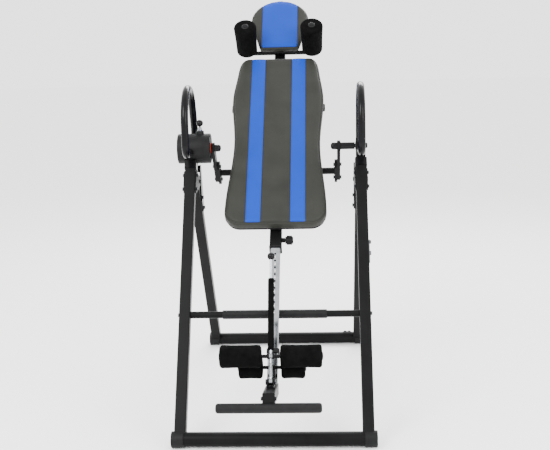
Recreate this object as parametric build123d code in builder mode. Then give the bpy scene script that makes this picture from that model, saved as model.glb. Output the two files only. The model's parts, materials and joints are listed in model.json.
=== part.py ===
"""Inversion table: a folding A-frame that carries a tilting bed on two pivot posts.

Row frame: millimetres, +Z up, +X to the right of someone facing the bed, the bed's foot end towards -Y.
The origin is on the floor, in the middle of the floor space that the table takes up.
"""
from build123d import *
from math import atan2, cos, degrees, hypot, radians, sin, tan
import os

os.makedirs("parts", exist_ok=True)

# ---------------------------------------------------------------- driving dimensions, mm and degrees
PIVOT_Y = 51.0  # the swing axis, behind the middle of the footprint
PIVOT_Z = 960.0  # the swing axis, above the floor
LEAN = 47.8  # the bed at rest, leaning back from upright
FIT = 0.3  # gap between pieces that move past each other
RUN = 0.05  # radial clearance of a shaft in its hole

# A-frame
BASE_HALF = 350.0  # middle of a base bar to the end of its cap
BASE_R = 25.0
BASE_WALL = 2.0
CAP_WALL = 3.0
CAP_R = BASE_R + CAP_WALL
CAP_LENGTH = 43.0
CAP_END = 3.0
FRONT_LEAN = 32.1158  # front legs, degrees from upright
REAR_LEAN = 36.2476
LEG_X = 320.0  # middle plane of the legs
LEG = 40.0
LEG_WALL = 2.0
LEG_ROUND = 4.0
SLEEVE_TOP = 58.0  # distance down the front leg line from the swing axis
SLEEVE_LENGTH = 32.0
SLEEVE_WALL = 2.5
POST = LEG - 2 * LEG_WALL - 2 * FIT  # slides into the leg
POST_WALL = 2.5
POST_ABOVE = 24.0
POST_BELOW = 150.0

# fold hinge and leg brackets
HINGE_BACK = 25.0  # hinge behind the swing axis
HINGE_DROP = 130.0  # hinge below the swing axis
HINGE_PLATE = 4.0
HINGE_BOLT_R = 5.0
PLATE_SPREAD = 56.0  # between the two bolts of a hinge plate
FOLD_BOLT_R = 4.0
FOLD_BOLTS = (86.0, 142.0)  # distances from the hinge down the rear leg
TAB_PLATE = 5.0

# cross bar between the front legs, whose bumper the boom rests on
CROSS_BAR_R = 12.5
BUMPER_WALL = 3.5
BUMPER_R = CROSS_BAR_R + BUMPER_WALL
BUMPER_HALF = 185.0

# handles
HANDLE_R = 14.0
HANDLE_WALL = 2.0
HANDLE_FRONT = 172.0  # front limb ahead of the swing axis
HANDLE_ARCH_R = 123.0
HANDLE_TOP = 228.0  # top of the arch, centre line, above the swing axis
HANDLE_FOOT_R = 40.0
HANDLE_FOOT_DROP = 10.0  # front limb's foot below the swing axis
HANDLE_BACK_R = 90.0
HANDLE_SLOPE = 24.0  # rear limb, degrees from upright

# pivots, both sides alike
AXLE_R = 8.0
BUSH_WALL = 3.0
BUSH_R = AXLE_R + BUSH_WALL
BUSH_FLANGE_R = BUSH_R + 4.0
HUB_WALL = 5.5
HUB_R = AXLE_R + HUB_WALL
HUB_TO = LEG_X - LEG / 2 - 2.0  # short of the leg
HUB_LENGTH = 76.0
HUB_FROM = HUB_TO - HUB_LENGTH
BUSH_FLANGE = 2.0
DOME_R = 11.0
DOME_LENGTH = 7.0
HUB_CAP = 14.0

# index drum, left side
DRUM_R = 56.5
DRUM_WALL = 3.0
DRUM_OUT = LEG_X + 50.0
DRUM_IN = LEG_X - 65.0
COVER = 8.0
DISC_X = LEG_X - 34.0
DISC_THICK = 10.0
DISC_R = DRUM_R - DRUM_WALL - 4.5
DISC_LOW_R = DISC_R - 9.0
PIN_R = 4.0
PIN_TIP = DISC_LOW_R + 3.0

# bed, measured from the swing axis: S up the bed, N out of its face towards the user
PAD_FACE_N = -62.0
PAD_THICK = 40.0
BOARD = 12.0
PAD_BOTTOM_S = -312.0
PAD_TOP_S = 558.0
BOOM = 36.0
BOOM_WALL = 2.5
BOOM_GAP = 1.5  # all round, inside the rail
RAIL_WALL = 2.5
RAIL = BOOM + 2 * (BOOM_GAP + RAIL_WALL)
RAIL_FRONT_N = -122.0
RAIL_N = RAIL_FRONT_N - RAIL / 2
RAIL_TOP_S = 656.0
RAIL_BOTTOM_S = -372.0
STRAP_S = (-190.0, 315.0)
STRAP_HALF = (150.0, 189.0)
STRAP_WIDE = 36.0
ARM_X = HUB_FROM + 16.0
ARM_THICK = 12.0
ARM_WIDE = 34.0
FLANGE_THICK = 5.0
FLANGE_HALF = 58.0
FLANGE_BOLTS = 38.0
CROSS_TUBE_R = 13.0

# headrest and shoulder rollers
HEAD_LOW_S = 620.0
HEAD_ROUND_S = 797.0
HEAD_R = 123.0
HEAD_LOW_HALF = 84.0
HEAD_THICK = 40.0
HEAD_BOARD = 10.0
SHOULDER_S = 638.0
SHOULDER_X = 138.0
SHOULDER_BAR_R = 9.0
ROLLER_FAR_N = -101.0
HEAD_ROLLER_LENGTH = 139.0
HEAD_ROLLER_R = 46.5

# boom and ankle clamp
BOOM_TOP_S = -140.0
BOOM_END_S = -955.0  # where its middle line meets the foot arm
COLLAR_S = -815.0
LEVER_S = -977.0
LEVER_N = -50.0
LEVER_TILT = 19.4  # lever at rest, away from the boom
LEVER_R = 4.5
LEVER_LENGTH = 412.0
BALL_R = 13.0
GRIP_FROM = 105.0
GRIP_TO = 348.0
GRIP_R = 10.5
SPRING_FROM = 18.0
SPRING_TO = 76.0
SPRING_R = 7.5
ANKLE_ALONG = 84.0  # front roller axle, up the lever from its pivot
HEEL_S = -896.0
HEEL_N = -98.0
ROLLER_AXLE_R = 6.0
ROLLER_BORE_R = ROLLER_AXLE_R + 1.5
ANKLE_R = 38.0
ANKLE_FROM = 31.0
ANKLE_TO = 168.0
HEEL_R = 37.0
HEEL_TO = 111.0

# footrest
FOOT_ARM = 40.0
FOOT_ARM_WALL = 3.0
FOOT_ARM_BACK = 26.0  # behind the boom's middle line
FOOT_ARM_TIP = (-1086.0, 36.0)  # middle of its front face, S and N
FOOT_PIN_BACK = 17.0
FOOT_BAR_S = -1107.0
FOOT_BAR_N = 18.0
FOOT_BAR_R = 16.0
FOOT_BAR_HALF = 167.0

# star knob, fold latch and fasteners
KNOB_S = -334.0
KNOB_R = 18.0
KNOB_FROM = 40.0
KNOB_TO = 64.0
KNOB_STEM_R = 5.0
KNOB_LOBES = 6
LATCH_DROP = 390.0  # down the front leg line from the swing axis
LATCH_LENGTH = 72.0
LATCH_PLATE = 3.0
BOLT_R = 4.0
BOLT_HEAD_R = 7.0
BOLT_HEAD = 5.0

# ---------------------------------------------------------------- worked out from the dimensions above
FRONT_RISE = PIVOT_Z - CAP_R
FRONT_RUN = FRONT_RISE * tan(radians(FRONT_LEAN))
FRONT_BAR_Y = PIVOT_Y - FRONT_RUN
FRONT_LENGTH = hypot(FRONT_RUN, FRONT_RISE)
FRONT_DOWN = (0, -FRONT_RUN / FRONT_LENGTH, -FRONT_RISE / FRONT_LENGTH)
HINGE = (PIVOT_Y + HINGE_BACK, PIVOT_Z - HINGE_DROP)
REAR_DROP = HINGE[1] - CAP_R
REAR_RUN = REAR_DROP * tan(radians(REAR_LEAN))
REAR_BAR_Y = HINGE[0] + REAR_RUN
REAR_LENGTH = hypot(REAR_RUN, REAR_DROP)
REAR_DOWN = (0, REAR_RUN / REAR_LENGTH, -REAR_DROP / REAR_LENGTH)
REAR_ANGLE = degrees(atan2(-REAR_DROP, REAR_RUN))
REAR_LEG = LEG - 2 * FIT
INNER_X = LEG_X - LEG / 2
OUTER_X = LEG_X + LEG / 2

PIVOT = (0, PIVOT_Y, PIVOT_Z)
UP_BED = (0, sin(radians(LEAN)), cos(radians(LEAN)))
OUT_OF_BED = (0, -cos(radians(LEAN)), sin(radians(LEAN)))
FACE = Plane(origin=PIVOT, x_dir=(1, 0, 0), z_dir=OUT_OF_BED)  # sketches in X and S, grows along N
FACE_AXIS = Axis(PIVOT, OUT_OF_BED)
SIDE = Plane(origin=PIVOT, x_dir=UP_BED, z_dir=(1, 0, 0))  # sketches in S and N, grows along X
SECTION = Plane(origin=PIVOT, x_dir=(1, 0, 0), z_dir=UP_BED)  # sketches in X and -N, grows along S

CROSS_BAR_DROP = (BUMPER_R + FIT + BOOM / 2 - RAIL_N) / sin(radians(LEAN - FRONT_LEAN))
ARM_DOWN = FOOT_ARM_TIP[0] - BOOM_END_S
ARM_OUT = FOOT_ARM_TIP[1] - RAIL_N
FOOT_ARM_LENGTH = hypot(ARM_DOWN, ARM_OUT)
FOOT_ROOT = FACE.from_local_coords((0, BOOM_END_S, RAIL_N))
FOOT_WAY = [(ARM_DOWN * up + ARM_OUT * out) / FOOT_ARM_LENGTH for up, out in zip(UP_BED, OUT_OF_BED)]
FOOT = Plane(origin=FOOT_ROOT, x_dir=(1, 0, 0), z_dir=FOOT_WAY)  # sketches in X and its height, grows forward
BOARD_FRONT_N = PAD_FACE_N - PAD_THICK
BOARD_BACK_N = BOARD_FRONT_N - BOARD
HEAD_BACK_N = PAD_FACE_N - HEAD_THICK
PLATE_TOP = SLEEVE_TOP + SLEEVE_LENGTH + LEG / 2 + 2
PLATE_SPOTS = (PLATE_TOP, PLATE_TOP + PLATE_SPREAD)  # hinge plate bolts, down the front leg line


def down_front(distance):
    """The Y, Z point at a distance down the front leg line from the swing axis."""
    return (PIVOT_Y + distance * FRONT_DOWN[1], PIVOT_Z + distance * FRONT_DOWN[2])


def down_rear(distance):
    """The Y, Z point at a distance down the rear leg line from the hinge."""
    return (HINGE[0] + distance * REAR_DOWN[1], HINGE[1] + distance * REAR_DOWN[2])


def up_lever(distance):
    """The S, N point at a distance up the lever from its pivot."""
    tilt = radians(LEVER_TILT)
    return (LEVER_S + distance * cos(tilt), LEVER_N + distance * sin(tilt))


def on_foot_arm(forward, height):
    """The S, N point at a distance forward along the foot arm and a height above its middle line."""
    down, out = ARM_DOWN / FOOT_ARM_LENGTH, ARM_OUT / FOOT_ARM_LENGTH
    return (BOOM_END_S + forward * down + height * out, RAIL_N + forward * out - height * down)


def foot_arm(start, end, width, corner, mode=Mode.ADD):
    """A square bar along the foot arm's line."""
    with BuildSketch(FOOT.offset(start)) as profile:
        RectangleRounded(width, width, corner)
    extrude(profile.sketch, amount=end - start, mode=mode)


def round_bar(plane, spot, radius, start, end, bore=0.0, mode=Mode.ADD):
    """A round bar, or a tube when it has a bore, square to a plane from one height to another."""
    with BuildSketch(plane.offset(start)) as profile:
        with Locations(spot):
            Circle(radius)
            if bore:
                Circle(bore, mode=Mode.SUBTRACT)
    extrude(profile.sketch, amount=end - start, mode=mode)


def leg_block(side, direction, start, end, width, corner, wall=0.0, mode=Mode.ADD):
    """A square bar or tube along a leg line through a point, centred on one side's leg plane."""
    origin, along = direction
    plane = Plane(origin=(side * LEG_X, *origin), x_dir=(1, 0, 0), z_dir=along)
    with BuildSketch(plane.offset(start)) as profile:
        RectangleRounded(width, width, corner)
        if wall:
            inner = width - 2 * wall
            RectangleRounded(inner, inner, max(corner - wall, 0.5), mode=Mode.SUBTRACT)
    extrude(profile.sketch, amount=end - start, mode=mode)


def plate(plane, spots, start, end, mode=Mode.ADD):
    """A flat plate whose outline wraps round a set of circles, given as x, y, radius."""
    with BuildSketch(plane.offset(start)) as profile:
        for across, up, radius in spots:
            with Locations((across, up)):
                Circle(radius)
        make_hull()
    extrude(profile.sketch, amount=end - start, mode=mode)


def bolt(plane, spot, radius, start, end, side=1, nut=True):
    """A bolt from start to end along a plane's normal, on one side, with hexagon head and nut outside them."""
    low, high = sorted((side * start, side * end))
    round_bar(plane, spot, radius, low, high)
    for edge, way in ((low, -1), (high, 1)):
        if nut or way == side:
            with BuildSketch(plane.offset(edge)) as profile:
                with Locations(spot):
                    RegularPolygon(radius * BOLT_HEAD_R / BOLT_R, 6)
            extrude(profile.sketch, amount=way * BOLT_HEAD)


FRONT_LINE = ((PIVOT_Y, PIVOT_Z), FRONT_DOWN)
REAR_LINE = (HINGE, REAR_DOWN)
BASE_BARS = {"front": (FRONT_BAR_Y, FRONT_LINE, FRONT_LENGTH), "rear": (REAR_BAR_Y, REAR_LINE, REAR_LENGTH)}

# ---------------------------------------------------------------- base bars with their plastic caps
for place, (bar_y, leg_line, leg_length) in BASE_BARS.items():
    axis = (bar_y, CAP_R)
    with BuildPart() as base_bar:
        bar_half = BASE_HALF - CAP_END
        round_bar(Plane.YZ, axis, BASE_R, -bar_half, bar_half, bore=BASE_R - BASE_WALL)
    base_bar.part.label = f"{place}_base_bar"
    export_step(base_bar.part, f"parts/{place}_base_bar.step")

    leg_width = LEG if place == "front" else REAR_LEG
    with BuildPart() as base_caps:
        for side in (-1, 1):
            inner_end, outer_end = side * (BASE_HALF - CAP_LENGTH), side * BASE_HALF
            round_bar(Plane.YZ, axis, CAP_R, inner_end, outer_end)
        fillet(base_caps.edges().filter_by(GeomType.CIRCLE), 2.5)
        round_bar(Plane.YZ, axis, BASE_R, -bar_half, bar_half, mode=Mode.SUBTRACT)
        for side in (-1, 1):
            leg_block(side, leg_line, leg_length - 2 * CAP_R, leg_length, leg_width, LEG_ROUND, mode=Mode.SUBTRACT)
    base_caps.part.label = f"{place}_base_caps"
    export_step(base_caps.part, f"parts/{place}_base_caps.step")

# ---------------------------------------------------------------- legs
LEG_TOP = SLEEVE_TOP + 4
for side, name in ((-1, "left"), (1, "right")):
    with BuildPart() as front_leg:
        leg_block(side, FRONT_LINE, LEG_TOP, FRONT_LENGTH, LEG, LEG_ROUND, wall=LEG_WALL)
        round_bar(Plane.YZ, (FRONT_BAR_Y, CAP_R), BASE_R, -BASE_HALF, BASE_HALF, mode=Mode.SUBTRACT)
        bores = [down_front(distance) for distance in (*PLATE_SPOTS, CROSS_BAR_DROP)]
        for spot in bores:
            round_bar(Plane.YZ, spot, BOLT_R, -OUTER_X, OUTER_X, mode=Mode.SUBTRACT)
        if side > 0:
            latch_spot = down_front(LATCH_DROP)
            round_bar(Plane.YZ, latch_spot, BOLT_R, LEG_X, OUTER_X, mode=Mode.SUBTRACT)
    front_leg.part.label = f"{name}_front_leg"
    export_step(front_leg.part, f"parts/{name}_front_leg.step")

    with BuildPart() as rear_leg:
        leg_block(side, REAR_LINE, -REAR_LEG / 2 - 2, REAR_LENGTH, REAR_LEG, LEG_ROUND, wall=LEG_WALL)
        round_bar(Plane.YZ, (REAR_BAR_Y, CAP_R), BASE_R, -BASE_HALF, BASE_HALF, mode=Mode.SUBTRACT)
        round_bar(Plane.YZ, HINGE, HINGE_BOLT_R + RUN, -OUTER_X, OUTER_X, mode=Mode.SUBTRACT)
        for distance in FOLD_BOLTS:
            round_bar(Plane.YZ, down_rear(distance), FOLD_BOLT_R, -OUTER_X, OUTER_X, mode=Mode.SUBTRACT)
    rear_leg.part.label = f"{name}_rear_leg"
    export_step(rear_leg.part, f"parts/{name}_rear_leg.step")

with BuildPart() as leg_sleeves:
    sleeve_width = LEG + 2 * SLEEVE_WALL
    for side in (-1, 1):
        leg_block(side, FRONT_LINE, SLEEVE_TOP, SLEEVE_TOP + SLEEVE_LENGTH, sleeve_width, LEG_ROUND)
    fillet(leg_sleeves.faces().sort_by(Axis.Z)[-2:].edges(), 1.5)
    for side in (-1, 1):
        leg_block(side, FRONT_LINE, LEG_TOP, FRONT_LENGTH, LEG, LEG_ROUND, mode=Mode.SUBTRACT)
        leg_block(side, FRONT_LINE, 0, FRONT_LENGTH, POST, LEG_ROUND - LEG_WALL, mode=Mode.SUBTRACT)
leg_sleeves.part.label = "leg_sleeves"
export_step(leg_sleeves.part, "parts/leg_sleeves.step")

# ---------------------------------------------------------------- pivot posts, bushes and hinge plates
with BuildPart() as pivot_posts:
    for side in (-1, 1):
        leg_block(side, FRONT_LINE, -POST_ABOVE, POST_BELOW, POST, LEG_ROUND - LEG_WALL)
        inner = POST - 2 * POST_WALL
        leg_block(side, FRONT_LINE, POST_WALL - POST_ABOVE, POST_BELOW, inner, 1.0, mode=Mode.SUBTRACT)
    round_bar(Plane.YZ, (PIVOT_Y, PIVOT_Z), BUSH_R, -OUTER_X, OUTER_X, mode=Mode.SUBTRACT)
    round_bar(Plane.YZ, down_front(PLATE_SPOTS[0]), BOLT_R, -OUTER_X, OUTER_X, mode=Mode.SUBTRACT)
pivot_posts.part.label = "pivot_posts"
export_step(pivot_posts.part, "parts/pivot_posts.step")

with BuildPart() as pivot_bushes:
    for side in (-1, 1):
        ends = [side * (LEG_X + way * POST / 2) for way in (-1, 1)]
        round_bar(Plane.YZ, (PIVOT_Y, PIVOT_Z), BUSH_R, *ends)
        for end, way in zip(ends, (-side, side)):
            round_bar(Plane.YZ, (PIVOT_Y, PIVOT_Z), BUSH_FLANGE_R, end, end + way * BUSH_FLANGE)
    round_bar(Plane.YZ, (PIVOT_Y, PIVOT_Z), AXLE_R + RUN, -BASE_HALF, BASE_HALF, mode=Mode.SUBTRACT)
pivot_bushes.part.label = "pivot_bushes"
export_step(pivot_bushes.part, "parts/pivot_bushes.step")

HINGE_OUTLINE = [(*down_front(distance), LEG / 2 - 4) for distance in PLATE_SPOTS] + [(*HINGE, 17.0)]
PLATE_FACES = (INNER_X - HINGE_PLATE, OUTER_X)
with BuildPart() as hinge_plates:
    for face_x in PLATE_FACES:
        for side in (-1, 1):
            plate(Plane.YZ, HINGE_OUTLINE, side * face_x, side * (face_x + HINGE_PLATE))
    for spot in [down_front(distance) for distance in PLATE_SPOTS]:
        round_bar(Plane.YZ, spot, BOLT_R, -BASE_HALF, BASE_HALF, mode=Mode.SUBTRACT)
    round_bar(Plane.YZ, HINGE, HINGE_BOLT_R, -BASE_HALF, BASE_HALF, mode=Mode.SUBTRACT)
hinge_plates.part.label = "hinge_plates"
export_step(hinge_plates.part, "parts/hinge_plates.step")

with BuildPart() as hinge_bolts:
    for side in (-1, 1):
        bolt(Plane.YZ, HINGE, HINGE_BOLT_R, PLATE_FACES[0], PLATE_FACES[1] + HINGE_PLATE, side)
hinge_bolts.part.label = "hinge_bolts"
export_step(hinge_bolts.part, "parts/hinge_bolts.step")

with BuildPart() as fold_bolts:
    for side in (-1, 1):
        for distance in FOLD_BOLTS:
            inner_face = INNER_X - TAB_PLATE - FIT
            bolt(Plane.YZ, down_rear(distance), FOLD_BOLT_R, inner_face, LEG_X + REAR_LEG / 2, side)
fold_bolts.part.label = "fold_bolts"
export_step(fold_bolts.part, "parts/fold_bolts.step")

# ---------------------------------------------------------------- cross bar with its bumper, and the front frame's bolts
with BuildPart() as cross_bar:
    round_bar(Plane.YZ, down_front(CROSS_BAR_DROP), CROSS_BAR_R, -INNER_X, INNER_X, bore=BOLT_R)
cross_bar.part.label = "cross_bar"
export_step(cross_bar.part, "parts/cross_bar.step")

with BuildPart() as cross_bar_bumper:
    round_bar(Plane.YZ, down_front(CROSS_BAR_DROP), BUMPER_R, -BUMPER_HALF, BUMPER_HALF, bore=CROSS_BAR_R)
cross_bar_bumper.part.label = "cross_bar_bumper"
export_step(cross_bar_bumper.part, "parts/cross_bar_bumper.step")

with BuildPart() as front_frame_bolts:
    for side in (-1, 1):
        bolt(Plane.YZ, down_front(CROSS_BAR_DROP), BOLT_R, INNER_X - 25, OUTER_X, side, nut=False)
        for spot in PLATE_SPOTS:
            bolt(Plane.YZ, down_front(spot), BOLT_R, PLATE_FACES[0], PLATE_FACES[1] + HINGE_PLATE, side)
    latch_bolt_end = OUTER_X + FIT + LATCH_PLATE + FIT
    bolt(Plane.YZ, down_front(LATCH_DROP), BOLT_R, LEG_X, latch_bolt_end, nut=False)
front_frame_bolts.part.label = "front_frame_bolts"
export_step(front_frame_bolts.part, "parts/front_frame_bolts.step")

# ---------------------------------------------------------------- fold latch, hooks the rear leg when the frame is folded
with BuildPart() as fold_latch:
    latch_x = OUTER_X + FIT
    bar_ends = [down_front(LATCH_DROP), down_front(LATCH_DROP + LATCH_LENGTH)]
    plate(Plane.YZ, [(*spot, 9.0) for spot in bar_ends], latch_x, latch_x + LATCH_PLATE)
    knob_spot = down_front(LATCH_DROP + 0.6 * LATCH_LENGTH)
    round_bar(Plane.YZ, knob_spot, 8.0, latch_x, latch_x + LATCH_PLATE + 5)
    fillet(fold_latch.edges().filter_by(GeomType.CIRCLE).sort_by(Axis.X)[-1], 2.0)
    round_bar(Plane.YZ, bar_ends[0], BOLT_R + RUN, LEG_X, BASE_HALF, mode=Mode.SUBTRACT)
fold_latch.part.label = "fold_latch"
export_step(fold_latch.part, "parts/fold_latch.step")

# ---------------------------------------------------------------- handles: a bent tube with a slotted tab at its rear end
ARCH_Y = PIVOT_Y - HANDLE_FRONT + HANDLE_ARCH_R
ARCH_Z = PIVOT_Z + HANDLE_TOP - HANDLE_ARCH_R
SLOPE = radians(HANDLE_SLOPE)
ARCH_CORNER_Z = ARCH_Z + HANDLE_ARCH_R * (1 + cos(SLOPE)) / sin(SLOPE)
BACK_Z = PIVOT_Z + 45
BACK_Y = ARCH_Y + (HANDLE_ARCH_R - (BACK_Z - ARCH_Z) * sin(SLOPE)) / cos(SLOPE)
TAB_TOP = (HINGE[0] + 35, HINGE[1] + 45)
HANDLE_ROUTE = [
    (PIVOT_Y, PIVOT_Z - HANDLE_FOOT_DROP),
    (PIVOT_Y - HANDLE_FRONT, PIVOT_Z - HANDLE_FOOT_DROP),
    (PIVOT_Y - HANDLE_FRONT, ARCH_CORNER_Z),
    (BACK_Y, BACK_Z),
    TAB_TOP,
]
HANDLE_BENDS = [HANDLE_FOOT_R, HANDLE_ARCH_R, HANDLE_BACK_R]
SLOT_TRACKS = [CenterArc(HINGE, distance, REAR_ANGLE - 25, 25) for distance in FOLD_BOLTS]
TAB_OUTLINE = [(*spot, 15.0) for spot in (TAB_TOP, *[down_rear(distance) for distance in FOLD_BOLTS])]
for side, name in ((-1, "left"), (1, "right")):
    with BuildPart() as handle:
        leg_plane = Plane.YZ.offset(side * LEG_X)
        with BuildLine(leg_plane) as route:
            FilletPolyline(*HANDLE_ROUTE, radius=HANDLE_BENDS)
        with BuildSketch(Plane(origin=route.line @ 0, z_dir=route.line % 0)):
            Circle(HANDLE_R)
        sweep(path=route.line)
        with BuildSketch(Plane(origin=route.line @ 0, z_dir=route.line % 0)):
            Circle(HANDLE_R - HANDLE_WALL)
        sweep(path=route.line, mode=Mode.SUBTRACT)
        leg_block(side, FRONT_LINE, -2 * POST, POST_BELOW, POST, LEG_ROUND - LEG_WALL, mode=Mode.SUBTRACT)
        inner_x, outer_x = side * INNER_X, side * (LEG_X + HANDLE_R)
        round_bar(Plane.YZ, TAB_TOP, HANDLE_R, inner_x, outer_x)
        plate(Plane.YZ, TAB_OUTLINE, side * (INNER_X - TAB_PLATE), inner_x)
        with BuildSketch(Plane.YZ.offset(side * (INNER_X - TAB_PLATE))):
            for track in SLOT_TRACKS:
                SlotArc(track, 2 * (FOLD_BOLT_R + FIT))
        extrude(amount=side * TAB_PLATE, mode=Mode.SUBTRACT)
    handle.part.label = f"{name}_handle"
    export_step(handle.part, f"parts/{name}_handle.step")

# ---------------------------------------------------------------- saddle clamp on the rear base bar
SADDLE = (255.0, 290.0)
SADDLE_THICK = 3.0
with BuildPart() as rear_saddle:
    round_bar(Plane.YZ, (REAR_BAR_Y, CAP_R), BASE_R + SADDLE_THICK, *SADDLE, bore=BASE_R)
    split(bisect_by=Plane.XY.offset(CAP_R + 12), keep=Keep.TOP)
    for bolt_x in (SADDLE[0] + 8, SADDLE[1] - 8):
        saddle_top = CAP_R + BASE_R + SADDLE_THICK
        round_bar(Plane.XY, (bolt_x, REAR_BAR_Y), 4.5, saddle_top - 1, saddle_top + 2.5)
rear_saddle.part.label = "rear_saddle"
export_step(rear_saddle.part, "parts/rear_saddle.step")

# ---------------------------------------------------------------- index drum round the left pivot
DRUM_AXIS = (PIVOT_Y, PIVOT_Z)
BOSS_R = 15.0
GUIDE_R = 7.0
with BuildPart() as drum_shell:
    round_bar(Plane.YZ, DRUM_AXIS, DRUM_R, -DRUM_OUT, -DRUM_IN)
    fillet(drum_shell.edges().filter_by(GeomType.CIRCLE).sort_by(Axis.X)[0], 4)
    round_bar(Plane.XY, (-DISC_X, PIVOT_Y), BOSS_R, PIVOT_Z, PIVOT_Z + DRUM_R + 10)
    round_bar(Plane.YZ, DRUM_AXIS, DRUM_R - DRUM_WALL, DRUM_WALL - DRUM_OUT, -DRUM_IN, mode=Mode.SUBTRACT)
    leg_block(-1, FRONT_LINE, 0, POST_BELOW, POST + 2 * FIT, LEG_ROUND - LEG_WALL, mode=Mode.SUBTRACT)
    foot_spot = (-LEG_X, PIVOT_Z - HANDLE_FOOT_DROP)
    round_bar(Plane.XZ, foot_spot, HANDLE_R + FIT, -PIVOT_Y, DRUM_R - PIVOT_Y, mode=Mode.SUBTRACT)
    round_bar(Plane.XY, (-DISC_X, PIVOT_Y), GUIDE_R, PIVOT_Z, PIVOT_Z + 2 * DRUM_R, mode=Mode.SUBTRACT)
drum_shell.part.label = "drum_shell"
export_step(drum_shell.part, "parts/drum_shell.step")

RING_R = 20.0
with BuildPart() as drum_cover:
    round_bar(Plane.YZ, DRUM_AXIS, DRUM_R, -DRUM_IN, COVER - DRUM_IN, bore=RING_R)
    fillet(drum_cover.edges().filter_by(GeomType.CIRCLE).sort_by(Axis.X)[-2:], 2)
drum_cover.part.label = "drum_cover"
export_step(drum_cover.part, "parts/drum_cover.step")

with BuildPart() as drum_collar_ring:
    round_bar(Plane.YZ, DRUM_AXIS, RING_R, -DRUM_IN, COVER + 2 - DRUM_IN, bore=HUB_R + FIT)
drum_collar_ring.part.label = "drum_collar_ring"
export_step(drum_collar_ring.part, "parts/drum_collar_ring.step")

GUIDE_TOP = PIVOT_Z + 80
with BuildPart() as index_pin_guide:
    round_bar(Plane.XY, (-DISC_X, PIVOT_Y), GUIDE_R, PIVOT_Z + DRUM_R - DRUM_WALL, GUIDE_TOP)
    with BuildSketch(Plane.XY.offset(PIVOT_Z + DRUM_R + 10)):
        with Locations((-DISC_X, PIVOT_Y)):
            RegularPolygon(GUIDE_R + 3, 6)
    extrude(amount=5)
    round_bar(Plane.XY, (-DISC_X, PIVOT_Y), PIN_R + RUN, PIVOT_Z, GUIDE_TOP, mode=Mode.SUBTRACT)
index_pin_guide.part.label = "index_pin_guide"
export_step(index_pin_guide.part, "parts/index_pin_guide.step")

KNOB_Z = GUIDE_TOP + 16
with BuildPart() as index_pin:
    round_bar(Plane.XY, (-DISC_X, PIVOT_Y), PIN_R, PIVOT_Z + PIN_TIP, GUIDE_TOP + 1)
    round_bar(Plane.XY, (-DISC_X, PIVOT_Y), PIN_R - 1, GUIDE_TOP, KNOB_Z)
index_pin.part.label = "index_pin"
export_step(index_pin.part, "parts/index_pin.step")

with BuildPart() as index_pin_knob:
    with Locations((-DISC_X, PIVOT_Y, KNOB_Z)):
        Sphere(BALL_R)
    round_bar(Plane.XY, (-DISC_X, PIVOT_Y), PIN_R - 1, PIVOT_Z, KNOB_Z, mode=Mode.SUBTRACT)
index_pin_knob.part.label = "index_pin_knob"
export_step(index_pin_knob.part, "parts/index_pin_knob.step")

SWEEP = 130.0  # how far the bed turns under the pin
CLEAR = 12.0
NOTCHES = 6
with BuildPart() as index_disc:
    disc_start = -DISC_X - DISC_THICK / 2
    disc_end = disc_start + DISC_THICK
    round_bar(Plane.YZ, DRUM_AXIS, DISC_LOW_R, disc_start, disc_end)
    rim_from = 90 + SWEEP + CLEAR
    rim_angle = 360 - SWEEP - 2 * CLEAR
    with BuildSketch(Plane.YZ.offset(disc_start)):
        with BuildLine():
            rim = CenterArc(DRUM_AXIS, DISC_R, rim_from, rim_angle)
            Line(DRUM_AXIS, rim @ 0)
            Line(rim @ 1, DRUM_AXIS)
        make_face()
        with Locations(DRUM_AXIS):
            with PolarLocations(DISC_R, NOTCHES, rim_from + CLEAR, rim_angle - 2 * CLEAR):
                Circle(PIN_R + 1, mode=Mode.SUBTRACT)
    extrude(amount=DISC_THICK)
    round_bar(Plane.YZ, DRUM_AXIS, HUB_R, disc_start, disc_end, mode=Mode.SUBTRACT)
index_disc.part.label = "index_disc"
export_step(index_disc.part, "parts/index_disc.step")

# ---------------------------------------------------------------- pivot axles: dome, hub, shaft and dome nut in one line
with BuildPart() as pivot_axles:
    nut_face = LEG_X + POST / 2 + BUSH_FLANGE + FIT
    for side in (-1, 1):
        round_bar(Plane.YZ, DRUM_AXIS, HUB_R, side * (HUB_FROM - HUB_CAP), side * HUB_TO)
        round_bar(Plane.YZ, DRUM_AXIS, AXLE_R, side * HUB_TO, side * nut_face)
        round_bar(Plane.YZ, DRUM_AXIS, DOME_R, side * nut_face, side * (nut_face + DOME_LENGTH))
    rims = pivot_axles.edges().filter_by(GeomType.CIRCLE).group_by(Axis.X)
    fillet(rims[0] + rims[-1], DOME_LENGTH - 1)
    middle = len(rims) // 2
    fillet(rims[middle - 1] + rims[middle], HUB_R - 3)
pivot_axles.part.label = "pivot_axles"
export_step(pivot_axles.part, "parts/pivot_axles.step")

# ---------------------------------------------------------------- swing arms, cross tube and the bolts between their flanges
FLANGE_SPOTS = [(0, RAIL_N - FLANGE_BOLTS), (0, RAIL_N + FLANGE_BOLTS)]
FLANGE_OUTLINE = [(*spot, FLANGE_HALF - FLANGE_BOLTS) for spot in FLANGE_SPOTS]
ARM_OUTLINE = [(0, 0, ARM_WIDE / 2 + 4), (0, RAIL_N - FLANGE_BOLTS + 8, ARM_WIDE / 2)]
ARM_INNER = ARM_X - ARM_THICK / 2
with BuildPart() as swing_arms:
    for side in (-1, 1):
        plate(SIDE, ARM_OUTLINE, side * ARM_INNER, side * (ARM_INNER + ARM_THICK))
        plate(SIDE, FLANGE_OUTLINE, side * (ARM_INNER - FLANGE_THICK), side * ARM_INNER)
    round_bar(SIDE, (0, 0), HUB_R, -BASE_HALF, BASE_HALF, mode=Mode.SUBTRACT)
    for spot in FLANGE_SPOTS:
        round_bar(SIDE, spot, BOLT_R, -BASE_HALF, BASE_HALF, mode=Mode.SUBTRACT)
swing_arms.part.label = "swing_arms"
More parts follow.
